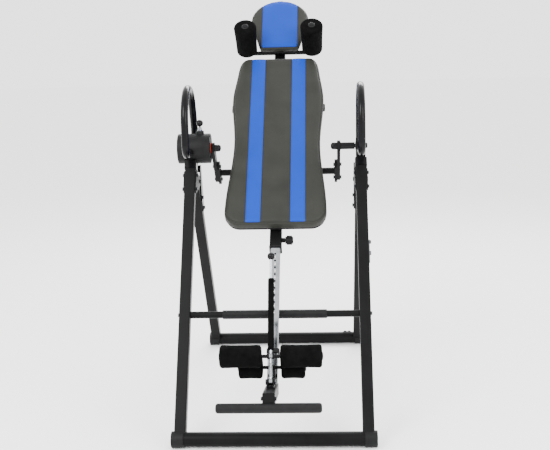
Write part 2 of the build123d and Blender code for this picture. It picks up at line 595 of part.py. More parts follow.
export_step(swing_arms.part, "parts/swing_arms.step")

TUBE_END = ARM_INNER - 2 * FLANGE_THICK
with BuildPart() as cross_tube:
    round_bar(SIDE, (0, RAIL_N), CROSS_TUBE_R, -TUBE_END, TUBE_END)
    for side in (-1, 1):
        plate(SIDE, FLANGE_OUTLINE, side * TUBE_END, side * (TUBE_END + FLANGE_THICK))
    round_bar(SIDE, (0, RAIL_N), CROSS_TUBE_R - 2.5, -BASE_HALF, BASE_HALF, mode=Mode.SUBTRACT)
    for spot in FLANGE_SPOTS:
        round_bar(SIDE, spot, BOLT_R, -BASE_HALF, BASE_HALF, mode=Mode.SUBTRACT)
cross_tube.part.label = "cross_tube"
export_step(cross_tube.part, "parts/cross_tube.step")

with BuildPart() as flange_bolts:
    for side in (-1, 1):
        for spot in FLANGE_SPOTS:
            bolt(SIDE, spot, BOLT_R, TUBE_END, ARM_INNER + ARM_THICK, side)
flange_bolts.part.label = "flange_bolts"
export_step(flange_bolts.part, "parts/flange_bolts.step")

# ---------------------------------------------------------------- main rail with its lower guide and the star knob
KNOB_BOSS_R = 9.0
KNOB_BOSS_END = KNOB_FROM - 6
with BuildPart() as bed_rail:
    with BuildSketch(SECTION.offset(RAIL_BOTTOM_S)):
        with Locations((0, -RAIL_N)):
            RectangleRounded(RAIL, RAIL, 4)
            RectangleRounded(RAIL - 2 * RAIL_WALL, RAIL - 2 * RAIL_WALL, 1.5, mode=Mode.SUBTRACT)
    extrude(amount=RAIL_TOP_S - RAIL_BOTTOM_S)
    round_bar(SIDE, (KNOB_S, RAIL_N), KNOB_BOSS_R, RAIL / 2, KNOB_BOSS_END)
    round_bar(SIDE, (KNOB_S, RAIL_N), KNOB_STEM_R + RUN, 0, KNOB_BOSS_END, mode=Mode.SUBTRACT)
    round_bar(SIDE, (0, RAIL_N), CROSS_TUBE_R, -RAIL, RAIL, mode=Mode.SUBTRACT)
bed_rail.part.label = "bed_rail"
export_step(bed_rail.part, "parts/bed_rail.step")

GUIDE_LIP = 6.0
GUIDE_DEPTH = 24.0
with BuildPart() as rail_guide:
    with BuildSketch(SECTION.offset(RAIL_BOTTOM_S - GUIDE_LIP)):
        with Locations((0, -RAIL_N)):
            RectangleRounded(RAIL + 3, RAIL + 3, 5)
    extrude(amount=GUIDE_LIP)
    with BuildSketch(SECTION.offset(RAIL_BOTTOM_S)):
        with Locations((0, -RAIL_N)):
            RectangleRounded(RAIL - 2 * RAIL_WALL, RAIL - 2 * RAIL_WALL, 1.5)
    extrude(amount=GUIDE_DEPTH)
    with BuildSketch(SECTION.offset(RAIL_BOTTOM_S - GUIDE_LIP)):
        with Locations((0, -RAIL_N)):
            RectangleRounded(BOOM + 2 * FIT, BOOM + 2 * FIT, 3.3)
    extrude(amount=GUIDE_LIP + GUIDE_DEPTH, mode=Mode.SUBTRACT)
rail_guide.part.label = "rail_guide"
export_step(rail_guide.part, "parts/rail_guide.step")

with BuildPart() as star_knob:
    round_bar(SIDE, (KNOB_S, RAIL_N), KNOB_STEM_R, BOOM / 2 + FIT, KNOB_FROM)
    round_bar(SIDE, (KNOB_S, RAIL_N), KNOB_R - 5, KNOB_FROM - 5, KNOB_TO)
    with BuildSketch(SIDE.offset(KNOB_FROM)):
        with Locations((KNOB_S, RAIL_N)):
            Circle(KNOB_R - 3)
            with PolarLocations(KNOB_R - 4, KNOB_LOBES):
                Circle(4.5)
    extrude(amount=KNOB_TO - KNOB_FROM - 4)
star_knob.part.label = "star_knob"
export_step(star_knob.part, "parts/star_knob.step")

# ---------------------------------------------------------------- backrest: straps, board and pad
with BuildPart() as board_straps:
    for strap_s, strap_half in zip(STRAP_S, STRAP_HALF):
        with BuildSketch(FACE.offset(RAIL_FRONT_N)):
            with Locations((0, strap_s)):
                RectangleRounded(2 * strap_half, STRAP_WIDE, 6)
        extrude(amount=BOARD_BACK_N - RAIL_FRONT_N)
board_straps.part.label = "board_straps"
export_step(board_straps.part, "parts/board_straps.step")


def backrest_outline(inset):
    """Half of the backrest's waisted outline, drawn in the current sketch and mirrored."""
    with BuildLine() as outline:
        base = Line((0, PAD_BOTTOM_S + inset), (130, PAD_BOTTOM_S + inset))
        corner = TangentArc(base @ 1, (190 - inset, PAD_BOTTOM_S + 60), tangent=(1, 0))
        waist = [(172 - inset, -10), (169 - inset, 120), (183 - inset, 345), (169 - inset, 465)]
        flank = Spline(corner @ 1, *waist, (122, PAD_TOP_S - inset), tangents=((0, 1), (-1, 0)))
        Line(flank @ 1, (0, PAD_TOP_S - inset))
        mirror(about=Plane.YZ)
    return outline.line


def headrest_outline(inset):
    """The headrest's outline: a round top whose sides run straight down to a narrower foot."""
    arc_r = HEAD_R - inset
    with BuildLine() as outline:
        crown = CenterArc((0, HEAD_ROUND_S), arc_r, -8, 196)
        right = (HEAD_LOW_HALF - inset, HEAD_LOW_S + 14)
        left = (-right[0], right[1])
        Line(crown @ 0, right)
        Line(crown @ 1, left)
        RadiusArc(right, (HEAD_LOW_HALF - 14 - inset, HEAD_LOW_S + inset), 18)
        RadiusArc(left, (14 + inset - HEAD_LOW_HALF, HEAD_LOW_S + inset), -18)
        Line((14 + inset - HEAD_LOW_HALF, HEAD_LOW_S + inset), (HEAD_LOW_HALF - 14 - inset, HEAD_LOW_S + inset))
    return outline.line


with BuildPart() as backrest_board:
    with BuildSketch(FACE.offset(BOARD_BACK_N)) as board_face:
        make_face(backrest_outline(6.0).edges())
    extrude(amount=BOARD)
backrest_board.part.label = "backrest_board"
export_step(backrest_board.part, "parts/backrest_board.step")

with BuildPart() as backrest_pad:
    with BuildSketch(FACE.offset(BOARD_FRONT_N)):
        make_face(backrest_outline(0.0).edges())
    extrude(amount=PAD_THICK)
    fillet(backrest_pad.faces().sort_by(FACE_AXIS)[-1].edges(), 14)
backrest_pad.part.label = "backrest_pad"
export_step(backrest_pad.part, "parts/backrest_pad.step")

# ---------------------------------------------------------------- headrest on its sliding bracket
TONGUE_FRONT = RAIL_FRONT_N - RAIL_WALL - FIT
TONGUE_BOTTOM_S = RAIL_TOP_S - 150
TONGUE_HALF = RAIL / 2 - RAIL_WALL - 2
with BuildPart() as headrest_bracket:
    with BuildSketch(SIDE.offset(-TONGUE_HALF)):
        with BuildLine():
            Polyline(
                (TONGUE_BOTTOM_S, TONGUE_FRONT),
                (RAIL_TOP_S + 12, TONGUE_FRONT),
                (RAIL_TOP_S + 12, HEAD_BACK_N),
                (RAIL_TOP_S + 140, HEAD_BACK_N),
                (RAIL_TOP_S + 140, HEAD_BACK_N - 12),
                (RAIL_TOP_S + 40, TONGUE_FRONT - 14),
                (TONGUE_BOTTOM_S, TONGUE_FRONT - 14),
                close=True,
            )
        make_face()
    extrude(amount=2 * TONGUE_HALF)
headrest_bracket.part.label = "headrest_bracket"
export_step(headrest_bracket.part, "parts/headrest_bracket.step")

with BuildPart() as headrest_board:
    with BuildSketch(FACE.offset(HEAD_BACK_N)):
        make_face(headrest_outline(6.0).edges())
    extrude(amount=HEAD_BOARD)
headrest_board.part.label = "headrest_board"
export_step(headrest_board.part, "parts/headrest_board.step")

with BuildPart() as headrest_pad:
    with BuildSketch(FACE.offset(HEAD_BACK_N + HEAD_BOARD)):
        make_face(headrest_outline(0.0).edges())
    extrude(amount=HEAD_THICK - HEAD_BOARD)
    fillet(headrest_pad.faces().sort_by(FACE_AXIS)[-1].edges(), 12)
headrest_pad.part.label = "headrest_pad"
export_step(headrest_pad.part, "parts/headrest_pad.step")

# ---------------------------------------------------------------- shoulder bar with its two rollers
SHOULDER_N = RAIL_FRONT_N + SHOULDER_BAR_R
PRONG_END_N = ROLLER_FAR_N + HEAD_ROLLER_LENGTH + 4
SHOULDER_PLANE = Plane(origin=FACE.from_local_coords((0, SHOULDER_S, 0)), x_dir=(1, 0, 0), z_dir=UP_BED)
with BuildPart() as shoulder_bar:
    with BuildLine(SHOULDER_PLANE) as prongs:
        FilletPolyline(
            (-SHOULDER_X, -PRONG_END_N),
            (-SHOULDER_X, -SHOULDER_N),
            (SHOULDER_X, -SHOULDER_N),
            (SHOULDER_X, -PRONG_END_N),
            radius=SHOULDER_BAR_R + 3,
        )
    with BuildSketch(Plane(origin=prongs.line @ 0, z_dir=prongs.line % 0)):
        Circle(SHOULDER_BAR_R)
    sweep(path=prongs.line)
shoulder_bar.part.label = "shoulder_bar"
export_step(shoulder_bar.part, "parts/shoulder_bar.step")

for side, name in ((-1, "left"), (1, "right")):
    spot = (side * SHOULDER_X, SHOULDER_S)
    with BuildPart() as head_roller:
        with BuildSketch(FACE.offset(ROLLER_FAR_N)):
            with Locations(spot):
                Circle(HEAD_ROLLER_R - 3)
        with BuildSketch(FACE.offset(ROLLER_FAR_N + HEAD_ROLLER_LENGTH)):
            with Locations(spot):
                Circle(HEAD_ROLLER_R + 1)
        loft()
        fillet(head_roller.edges().filter_by(GeomType.CIRCLE), 5)
        roller_end = ROLLER_FAR_N + HEAD_ROLLER_LENGTH
        bore = SHOULDER_BAR_R + FIT
        round_bar(FACE, spot, bore, ROLLER_FAR_N, roller_end, mode=Mode.SUBTRACT)
    head_roller.part.label = f"{name}_head_roller"
    export_step(head_roller.part, f"parts/{name}_head_roller.step")

# ---------------------------------------------------------------- boom with its collar
BOOM_FRONT_N = RAIL_N + BOOM / 2
HOLE_PITCH = 30.0
HOLES = 9
HOLE_TOP_S = RAIL_BOTTOM_S - 36
with BuildPart() as boom:
    with BuildSketch(SECTION.offset(BOOM_END_S)):
        with Locations((0, -RAIL_N)):
            RectangleRounded(BOOM, BOOM, 3)
            RectangleRounded(BOOM - 2 * BOOM_WALL, BOOM - 2 * BOOM_WALL, 1, mode=Mode.SUBTRACT)
    extrude(amount=BOOM_TOP_S - BOOM_END_S)
    foot_arm(-2 * FOOT_ARM, FOOT_ARM_LENGTH, FOOT_ARM, 4, mode=Mode.SUBTRACT)
    for index in range(HOLES):
        spot = (0, HOLE_TOP_S - index * HOLE_PITCH)
        round_bar(FACE, spot, BOLT_R, RAIL_N, BOOM_FRONT_N + 1, mode=Mode.SUBTRACT)
boom.part.label = "boom"
export_step(boom.part, "parts/boom.step")

with BuildPart() as boom_collar:
    with BuildSketch(SECTION.offset(COLLAR_S - 8)):
        with Locations((0, -RAIL_N)):
            RectangleRounded(BOOM + 8, BOOM + 8, 6)
            RectangleRounded(BOOM, BOOM, 3, mode=Mode.SUBTRACT)
    extrude(amount=16)
boom_collar.part.label = "boom_collar"
export_step(boom_collar.part, "parts/boom_collar.step")

# ---------------------------------------------------------------- ankle clamp: clevis and ratchet sector on the boom
CHEEK = 4.0
CHEEK_FROM = 8.0
SECTOR_R = (52.0, 66.0)
SECTOR_FROM = -80.0
SECTOR_SWEEP = 68.0
CLEVIS_FROM = 20.0  # its foot plate, along the foot arm
CLEVIS_TO = 115.0
CHEEK_ROOTS = (69.0, 109.0)
TEETH = 7
with BuildPart() as lever_clevis:
    with BuildSketch(FOOT.offset(CLEVIS_FROM)):
        with Locations((0, (FOOT_ARM + CHEEK) / 2)):
            Rectangle(2 * (CHEEK_FROM + CHEEK), CHEEK)
    extrude(amount=CLEVIS_TO - CLEVIS_FROM)
    cheek_outline = [(LEVER_S, LEVER_N, 12.0)]
    for forward in CHEEK_ROOTS:
        cheek_outline.append((*on_foot_arm(forward, FOOT_ARM / 2 + 6), 6.0))
    for side in (-1, 1):
        plate(SIDE, cheek_outline, side * CHEEK_FROM, side * (CHEEK_FROM + CHEEK))
    round_bar(SIDE, (LEVER_S, LEVER_N), ROLLER_AXLE_R, -BOOM, BOOM, mode=Mode.SUBTRACT)
    with BuildSketch(SIDE.offset(CHEEK_FROM)):
        with BuildLine():
            outer = CenterArc((LEVER_S, LEVER_N), SECTOR_R[1], SECTOR_FROM, SECTOR_SWEEP)
            inner = CenterArc((LEVER_S, LEVER_N), SECTOR_R[0], SECTOR_FROM, SECTOR_SWEEP)
            Line(outer @ 0, inner @ 0)
            Line(outer @ 1, inner @ 1)
        make_face()
        with Locations((LEVER_S, LEVER_N)):
            with PolarLocations(SECTOR_R[1], TEETH, SECTOR_FROM + 22, SECTOR_SWEEP - 26):
                Circle(2.2, mode=Mode.SUBTRACT)
    extrude(amount=CHEEK)
    foot_arm(0, FOOT_ARM_LENGTH, FOOT_ARM, 4, mode=Mode.SUBTRACT)
lever_clevis.part.label = "lever_clevis"
export_step(lever_clevis.part, "parts/lever_clevis.step")

with BuildPart() as lever_bolt:
    bolt(SIDE, (LEVER_S, LEVER_N), ROLLER_AXLE_R, -CHEEK_FROM - CHEEK, CHEEK_FROM + CHEEK)
lever_bolt.part.label = "lever_bolt"
export_step(lever_bolt.part, "parts/lever_bolt.step")

with BuildPart() as heel_axle:
    lug_outline = [(HEEL_S, HEEL_N, 10.0), (HEEL_S - 9, BOOM_FRONT_N + 5, 5.0), (HEEL_S + 9, BOOM_FRONT_N + 5, 5.0)]
    plate(SIDE, lug_outline, -10, 10)
    round_bar(SIDE, (HEEL_S, HEEL_N), ROLLER_AXLE_R, -HEEL_TO - 3, HEEL_TO + 3)
heel_axle.part.label = "heel_axle"
export_step(heel_axle.part, "parts/heel_axle.step")

# ---------------------------------------------------------------- ankle lever with its ball, grip and spring
TILT = radians(LEVER_TILT)
ALONG = FACE.from_local_coords((0, LEVER_S, LEVER_N))
LEVER_UP = [cos(TILT) * up + sin(TILT) * out for up, out in zip(UP_BED, OUT_OF_BED)]
LEVER = Plane(origin=ALONG, x_dir=(1, 0, 0), z_dir=LEVER_UP)
with BuildPart() as lever_rod:
    round_bar(LEVER, (0, 0), LEVER_R, 0, LEVER_LENGTH + 4)
    round_bar(SIDE, (LEVER_S, LEVER_N), 11.0, FIT - CHEEK_FROM, CHEEK_FROM - FIT)
    round_bar(SIDE, up_lever(ANKLE_ALONG), 9.5, -12, 12)
    round_bar(SIDE, up_lever(ANKLE_ALONG), ROLLER_AXLE_R, -ANKLE_TO - 3, ANKLE_TO + 3)
    round_bar(SIDE, (LEVER_S, LEVER_N), ROLLER_AXLE_R + RUN, -BOOM, BOOM, mode=Mode.SUBTRACT)
lever_rod.part.label = "lever_rod"
export_step(lever_rod.part, "parts/lever_rod.step")

with BuildPart() as lever_ball:
    with Locations(LEVER.offset(LEVER_LENGTH + BALL_R)):
        Sphere(BALL_R)
    round_bar(LEVER, (0, 0), LEVER_R, 0, LEVER_LENGTH + 4, mode=Mode.SUBTRACT)
lever_ball.part.label = "lever_ball"
export_step(lever_ball.part, "parts/lever_ball.step")

with BuildPart() as lever_grip:
    round_bar(LEVER, (0, 0), GRIP_R, GRIP_FROM, GRIP_TO)
    fillet(lever_grip.edges().filter_by(GeomType.CIRCLE), 3)
    round_bar(LEVER, (0, 0), LEVER_R, GRIP_FROM, GRIP_TO, mode=Mode.SUBTRACT)
lever_grip.part.label = "lever_grip"
export_step(lever_grip.part, "parts/lever_grip.step")

SPRING_BEADS = 9
BEAD = (SPRING_TO - SPRING_FROM - 10) / SPRING_BEADS
with BuildPart() as lever_spring:
    for index in range(SPRING_BEADS):
        bead_start = SPRING_FROM - 4 + index * BEAD
        round_bar(LEVER, (0, 0), SPRING_R, bead_start, bead_start + BEAD)
    round_bar(LEVER, (0, 0), SPRING_R - 1.5, SPRING_FROM - 4, SPRING_TO - 14)
    round_bar(LEVER, (0, 0), LEVER_R, 0, LEVER_LENGTH, mode=Mode.SUBTRACT)
lever_spring.part.label = "lever_spring"
export_step(lever_spring.part, "parts/lever_spring.step")

# ---------------------------------------------------------------- ankle and heel rollers
ROLLERS = {
    "ankle": (up_lever(ANKLE_ALONG), ANKLE_R, ANKLE_TO),
    "heel": ((HEEL_S, HEEL_N), HEEL_R, HEEL_TO),
}
for place, (spot, radius, far_end) in ROLLERS.items():
    for side, name in ((-1, "left"), (1, "right")):
        with BuildPart() as foam_roller:
            round_bar(SIDE, spot, radius, side * ANKLE_FROM, side * far_end)
            fillet(foam_roller.edges().filter_by(GeomType.CIRCLE), 5)
            round_bar(SIDE, spot, ROLLER_AXLE_R + FIT, side * ANKLE_FROM, side * far_end, mode=Mode.SUBTRACT)
        foam_roller.part.label = f"{name}_{place}_roller"
        export_step(foam_roller.part, f"parts/{name}_{place}_roller.step")

# ---------------------------------------------------------------- footrest: a closed arm under the boom, and its bar
PIN_SPOT = on_foot_arm(FOOT_ARM_LENGTH - FOOT_PIN_BACK, 0)
with BuildPart() as footrest_block:
    foot_arm(-FOOT_ARM_BACK, FOOT_ARM_LENGTH, FOOT_ARM, 4)
    inner = FOOT_ARM - 2 * FOOT_ARM_WALL
    inner_end = FOOT_ARM_LENGTH - FOOT_ARM
    foot_arm(FOOT_ARM_WALL - FOOT_ARM_BACK, inner_end, inner, 1.5, mode=Mode.SUBTRACT)
    round_bar(SIDE, (FOOT_BAR_S, FOOT_BAR_N), FOOT_BAR_R, -BOOM, BOOM, mode=Mode.SUBTRACT)
    round_bar(SIDE, PIN_SPOT, BOLT_R, -BOOM, BOOM, mode=Mode.SUBTRACT)
footrest_block.part.label = "footrest_block"
export_step(footrest_block.part, "parts/footrest_block.step")

with BuildPart() as foot_bar:
    round_bar(SIDE, (FOOT_BAR_S, FOOT_BAR_N), FOOT_BAR_R, -FOOT_BAR_HALF, FOOT_BAR_HALF)
    fillet(foot_bar.edges().filter_by(GeomType.CIRCLE), 3)
foot_bar.part.label = "foot_bar"
export_step(foot_bar.part, "parts/foot_bar.step")

with BuildPart() as footrest_pin:
    bolt(SIDE, PIN_SPOT, BOLT_R, -FOOT_ARM / 2, FOOT_ARM / 2)
footrest_pin.part.label = "footrest_pin"
export_step(footrest_pin.part, "parts/footrest_pin.step")
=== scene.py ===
"""Inversion table: cushions, foam, springs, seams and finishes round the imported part, in a pale studio.

Metres in the part's own frame: +Z up, +X to the right of someone who faces the bed, the bed's foot end to -Y.
"""

import json
import math

import bmesh
import bpy
from mathutils import Matrix, Vector


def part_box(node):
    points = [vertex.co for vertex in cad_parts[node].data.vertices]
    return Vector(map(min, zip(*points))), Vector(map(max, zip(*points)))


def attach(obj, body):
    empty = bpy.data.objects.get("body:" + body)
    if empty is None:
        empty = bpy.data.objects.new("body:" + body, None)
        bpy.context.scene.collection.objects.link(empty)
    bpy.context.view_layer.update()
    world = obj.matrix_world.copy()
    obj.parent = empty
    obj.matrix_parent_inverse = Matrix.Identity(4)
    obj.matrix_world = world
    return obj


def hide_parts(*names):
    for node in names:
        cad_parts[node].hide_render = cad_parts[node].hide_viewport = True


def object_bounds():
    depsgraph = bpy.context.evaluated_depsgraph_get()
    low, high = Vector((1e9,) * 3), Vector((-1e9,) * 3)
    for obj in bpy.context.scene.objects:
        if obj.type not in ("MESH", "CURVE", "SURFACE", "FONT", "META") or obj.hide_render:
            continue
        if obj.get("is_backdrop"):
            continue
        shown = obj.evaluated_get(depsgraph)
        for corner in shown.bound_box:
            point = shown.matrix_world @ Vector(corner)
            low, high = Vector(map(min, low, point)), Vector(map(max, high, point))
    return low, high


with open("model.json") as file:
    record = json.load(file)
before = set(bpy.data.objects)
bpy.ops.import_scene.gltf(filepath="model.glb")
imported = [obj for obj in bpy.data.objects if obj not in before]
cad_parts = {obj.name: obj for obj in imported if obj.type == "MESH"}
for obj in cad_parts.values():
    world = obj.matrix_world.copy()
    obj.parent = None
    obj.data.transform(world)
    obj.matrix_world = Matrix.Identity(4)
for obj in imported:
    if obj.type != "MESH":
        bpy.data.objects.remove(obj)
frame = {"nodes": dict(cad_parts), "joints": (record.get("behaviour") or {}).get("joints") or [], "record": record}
cad_low, cad_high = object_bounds()

MM = 0.001
JOINTS = {joint["name"]: joint for joint in frame["joints"]}
PIVOT = Vector(JOINTS["bed_tilt"]["pos_m"])
ACROSS = Vector((1, 0, 0))
UP_BED = Vector(JOINTS["headrest_slide"]["axis"]).normalized()
OUT_OF_BED = ACROSS.cross(UP_BED)
LEVER_PIVOT = Vector(JOINTS["ankle_lever_swing"]["pos_m"])
ANKLE_AXLE = Vector(JOINTS["left_ankle_roller_turn"]["pos_m"])
HEEL_AXLE = Vector(JOINTS["left_heel_roller_turn"]["pos_m"])


def on_bed(across, up, out):
    """A point given in the bed's own directions, from the swing axis."""
    return PIVOT + across * ACROSS + up * UP_BED + out * OUT_OF_BED


def extent(node, direction):
    """Lowest and highest reach of a CAD node along a direction, from the swing axis."""
    reach = [(vertex.co - PIVOT).dot(direction) for vertex in frame["nodes"][node].data.vertices]
    return min(reach), max(reach)


# ---------------------------------------------------------------- materials
def linear(hex_colour):
    """An sRGB hex colour as linear RGBA."""
    parts = [int(hex_colour[index:index + 2], 16) / 255 for index in (1, 3, 5)]
    return tuple(c / 12.92 if c <= 0.04045 else ((c + 0.055) / 1.055) ** 2.4 for c in parts) + (1.0,)


def add(tree, kind, settings=None, links=None):
    """Adds one node, sets its properties or unlinked sockets, and links its inputs."""
    node = tree.nodes.new(kind)
    for name, value in (settings or {}).items():
        if isinstance(name, str) and hasattr(node, name):
            setattr(node, name, value)
        else:
            node.inputs[name].default_value = value
    for name, source in (links or {}).items():
        tree.links.new(source, node.inputs[name])
    return node


def new_material(name, shader_settings):
    """A material with its shader, and the object coordinates that its patterns use, in millimetres."""
    material = bpy.data.materials.new(name)
    material.use_nodes = True
    tree = material.node_tree
    shader = tree.nodes["Principled BSDF"]
    for socket, value in shader_settings.items():
        shader.inputs[socket].default_value = value
    place = add(tree, "ShaderNodeTexCoord").outputs["Object"]
    in_mm = add(tree, "ShaderNodeVectorMath", {"operation": "SCALE", "Scale": 1 / MM}, {0: place})
    return material, tree, shader, in_mm.outputs[0]


def two_tone(tree, shader, pattern, dark, light, low=0.3, high=0.7):
    """Colours the shader between two close tones by a pattern."""
    ramp = add(tree, "ShaderNodeValToRGB", links={"Fac": pattern})
    ramp.color_ramp.elements[0].position = low
    ramp.color_ramp.elements[0].color = linear(dark)
    ramp.color_ramp.elements[1].position = high
    ramp.color_ramp.elements[1].color = linear(light)
    tree.links.new(ramp.outputs["Color"], shader.inputs["Base Color"])
    return ramp.outputs["Color"]


def spread(tree, shader, pattern, low, high):
    """Varies the shader's roughness between two values by a pattern."""
    ends = {"To Min": low, "To Max": high}
    span = add(tree, "ShaderNodeMapRange", ends, {"Value": pattern})
    tree.links.new(span.outputs["Result"], shader.inputs["Roughness"])


def relief(tree, shader, height, depth_mm, strength=1.0):
    """Raises the surface by a height pattern whose full range is a depth in millimetres."""
    settings = {"Strength": strength, "Distance": depth_mm * MM}
    bump = add(tree, "ShaderNodeBump", settings, {"Height": height})
    tree.links.new(bump.outputs["Normal"], shader.inputs["Normal"])


def powder_coat():
    """Satin black powder coat baked on steel: a soft sheen broken by fine orange peel."""
    settings = {"Roughness": 0.42, "IOR": 1.5, "Specular IOR Level": 0.08}
    material, tree, shader, place = new_material("powder_coat_satin_black", settings)
    peel = add(tree, "ShaderNodeTexNoise", {"Scale": 0.55, "Detail": 3.0}, {"Vector": place})
    handling = add(tree, "ShaderNodeTexNoise", {"Scale": 0.012, "Detail": 5.0}, {"Vector": place})
    two_tone(tree, shader, handling.outputs["Fac"], "#050505", "#0b0b0c")
    spread(tree, shader, handling.outputs["Fac"], 0.34, 0.48)
    relief(tree, shader, peel.outputs["Fac"], 0.12)
    return material


def gloss_enamel():
    """Gloss black enamel on bent tube: near mirror, with slow waves left by the spray."""
    settings = {"Roughness": 0.22, "IOR": 1.5, "Specular IOR Level": 0.12}
    material, tree, shader, place = new_material("enamel_gloss_black", settings)
    waves = add(tree, "ShaderNodeTexNoise", {"Scale": 0.05, "Detail": 2.0}, {"Vector": place})
    two_tone(tree, shader, waves.outputs["Fac"], "#050506", "#09090b")
    relief(tree, shader, waves.outputs["Fac"], 0.25)
    return material


def chrome_plate():
    """Bright chrome plate on drawn tube: mirror-like, with faint draw lines and finger marks."""
    material, tree, shader, place = new_material("chrome_plate", {"Metallic": 1.0, "Roughness": 0.12})
    settings = {"Scale": 0.03, "Detail": 6.0, "Roughness": 0.65}
    marks = add(tree, "ShaderNodeTexNoise", settings, {"Vector": place})
    two_tone(tree, shader, marks.outputs["Fac"], "#84878b", "#9ea1a4")
    spread(tree, shader, marks.outputs["Fac"], 0.05, 0.2)
    return material


def zinc_plate():
    """Black zinc plate on bolts and shafts: dark dull metal with a blotchy passivated tone."""
    material, tree, shader, place = new_material("zinc_plate", {"Metallic": 1.0, "Roughness": 0.35})
    blotches = add(tree, "ShaderNodeTexVoronoi", {"Scale": 0.35}, {"Vector": place})
    two_tone(tree, shader, blotches.outputs["Distance"], "#2c2e30", "#3e4042", 0.1, 0.9)
    spread(tree, shader, blotches.outputs["Distance"], 0.28, 0.45)
    return material


def chromed_rod():
    """The lever's chrome rod, and black enamel on the axle that is welded across it."""
    material, tree, shader, place = new_material("chrome_rod_enamel_axle", {"Specular IOR Level": 0.12})
    settings = {"Scale": 0.03, "Detail": 6.0, "Roughness": 0.65}
    marks = add(tree, "ShaderNodeTexNoise", settings, {"Vector": place})
    axes = add(tree, "ShaderNodeSeparateXYZ", links={"Vector": place})
    sideways = add(tree, "ShaderNodeMath", {"operation": "ABSOLUTE"}, {0: axes.outputs["X"]})
    on_rod = add(tree, "ShaderNodeMath", {"operation": "LESS_THAN", 1: 5.0}, {0: sideways.outputs[0]})
    chrome = two_tone(tree, shader, marks.outputs["Fac"], "#84878b", "#9ea1a4")
    ends = {"Color1": linear("#070708")}
    cover = add(tree, "ShaderNodeMixRGB", ends, {"Fac": on_rod.outputs[0], "Color2": chrome})
    tree.links.new(cover.outputs["Color"], shader.inputs["Base Color"])
    tree.links.new(on_rod.outputs[0], shader.inputs["Metallic"])
    ends = {"To Min": 0.4, "To Max": 0.1}
    sheen = add(tree, "ShaderNodeMapRange", ends, {"Value": on_rod.outputs[0]})
    tree.links.new(sheen.outputs["Result"], shader.inputs["Roughness"])
    return material


def spring_wire():
    """Bright zinc plate on drawn spring wire."""
    material, tree, shader, place = new_material("zinc_plate_spring_wire", {"Metallic": 1.0})
    drawn = add(tree, "ShaderNodeTexNoise", {"Scale": 0.6, "Detail": 3.0}, {"Vector": place})
    two_tone(tree, shader, drawn.outputs["Fac"], "#7c7f82", "#9a9da0")
    spread(tree, shader, drawn.outputs["Fac"], 0.22, 0.36)
    return material


def grey_paint():
    """Grey enamel on stamped steel: a mid grey sheen, worn a little brighter in patches."""
    material, tree, shader, place = new_material("enamel_steel_grey", {"Roughness": 0.38, "IOR": 1.5})
    wear = add(tree, "ShaderNodeTexNoise", {"Scale": 0.08, "Detail": 6.0}, {"Vector": place})
    two_tone(tree, shader, wear.outputs["Fac"], "#3f4244", "#5a5d60")
    spread(tree, shader, wear.outputs["Fac"], 0.3, 0.5)
    return material


def moulded_plastic(name, dark, light, roughness, grain_depth):
    """Injection-moulded plastic: an even tone under the fine spark-eroded grain of its mould."""
    settings = {"Roughness": roughness, "IOR": 1.46, "Specular IOR Level": 0.16}
    material, tree, shader, place = new_material(name, settings)
    grain = add(tree, "ShaderNodeTexNoise", {"Scale": 1.6, "Detail": 2.0}, {"Vector": place})
    tone = add(tree, "ShaderNodeTexNoise", {"Scale": 0.02, "Detail": 3.0}, {"Vector": place})
    two_tone(tree, shader, tone.outputs["Fac"], dark, light)
    relief(tree, shader, grain.outputs["Fac"], grain_depth)
    return material


def closed_cell_foam(name, dark, light, roughness, gloss):
    """Closed-cell rubber foam: matt, dusty black, pitted by cells about a millimetre across."""
    settings = {"Roughness": roughness, "IOR": 1.4, "Specular IOR Level": gloss}
    material, tree, shader, place = new_material(name, settings)
    cells = add(tree, "ShaderNodeTexVoronoi", {"Scale": 0.6, "Randomness": 1.0}, {"Vector": place})
    dust = add(tree, "ShaderNodeTexNoise", {"Scale": 0.05, "Detail": 6.0}, {"Vector": place})
    two_tone(tree, shader, dust.outputs["Fac"], dark, light)
    relief(tree, shader, cells.outputs["Distance"], 0.5)
    return material


def covered_plywood():
    """Plywood under stapled black nonwoven cloth: matt, with short fibres lying every way."""
    settings = {"Roughness": 0.95, "Specular IOR Level": 0.15}
    material, tree, shader, place = new_material("nonwoven_cloth_black", settings)
    settings = {"Scale": 0.9, "Detail": 8.0, "Distortion": 2.5}
    fibres = add(tree, "ShaderNodeTexNoise", settings, {"Vector": place})
    two_tone(tree, shader, fibres.outputs["Fac"], "#0b0b0c", "#191919")
    relief(tree, shader, fibres.outputs["Fac"], 0.3)
    return material


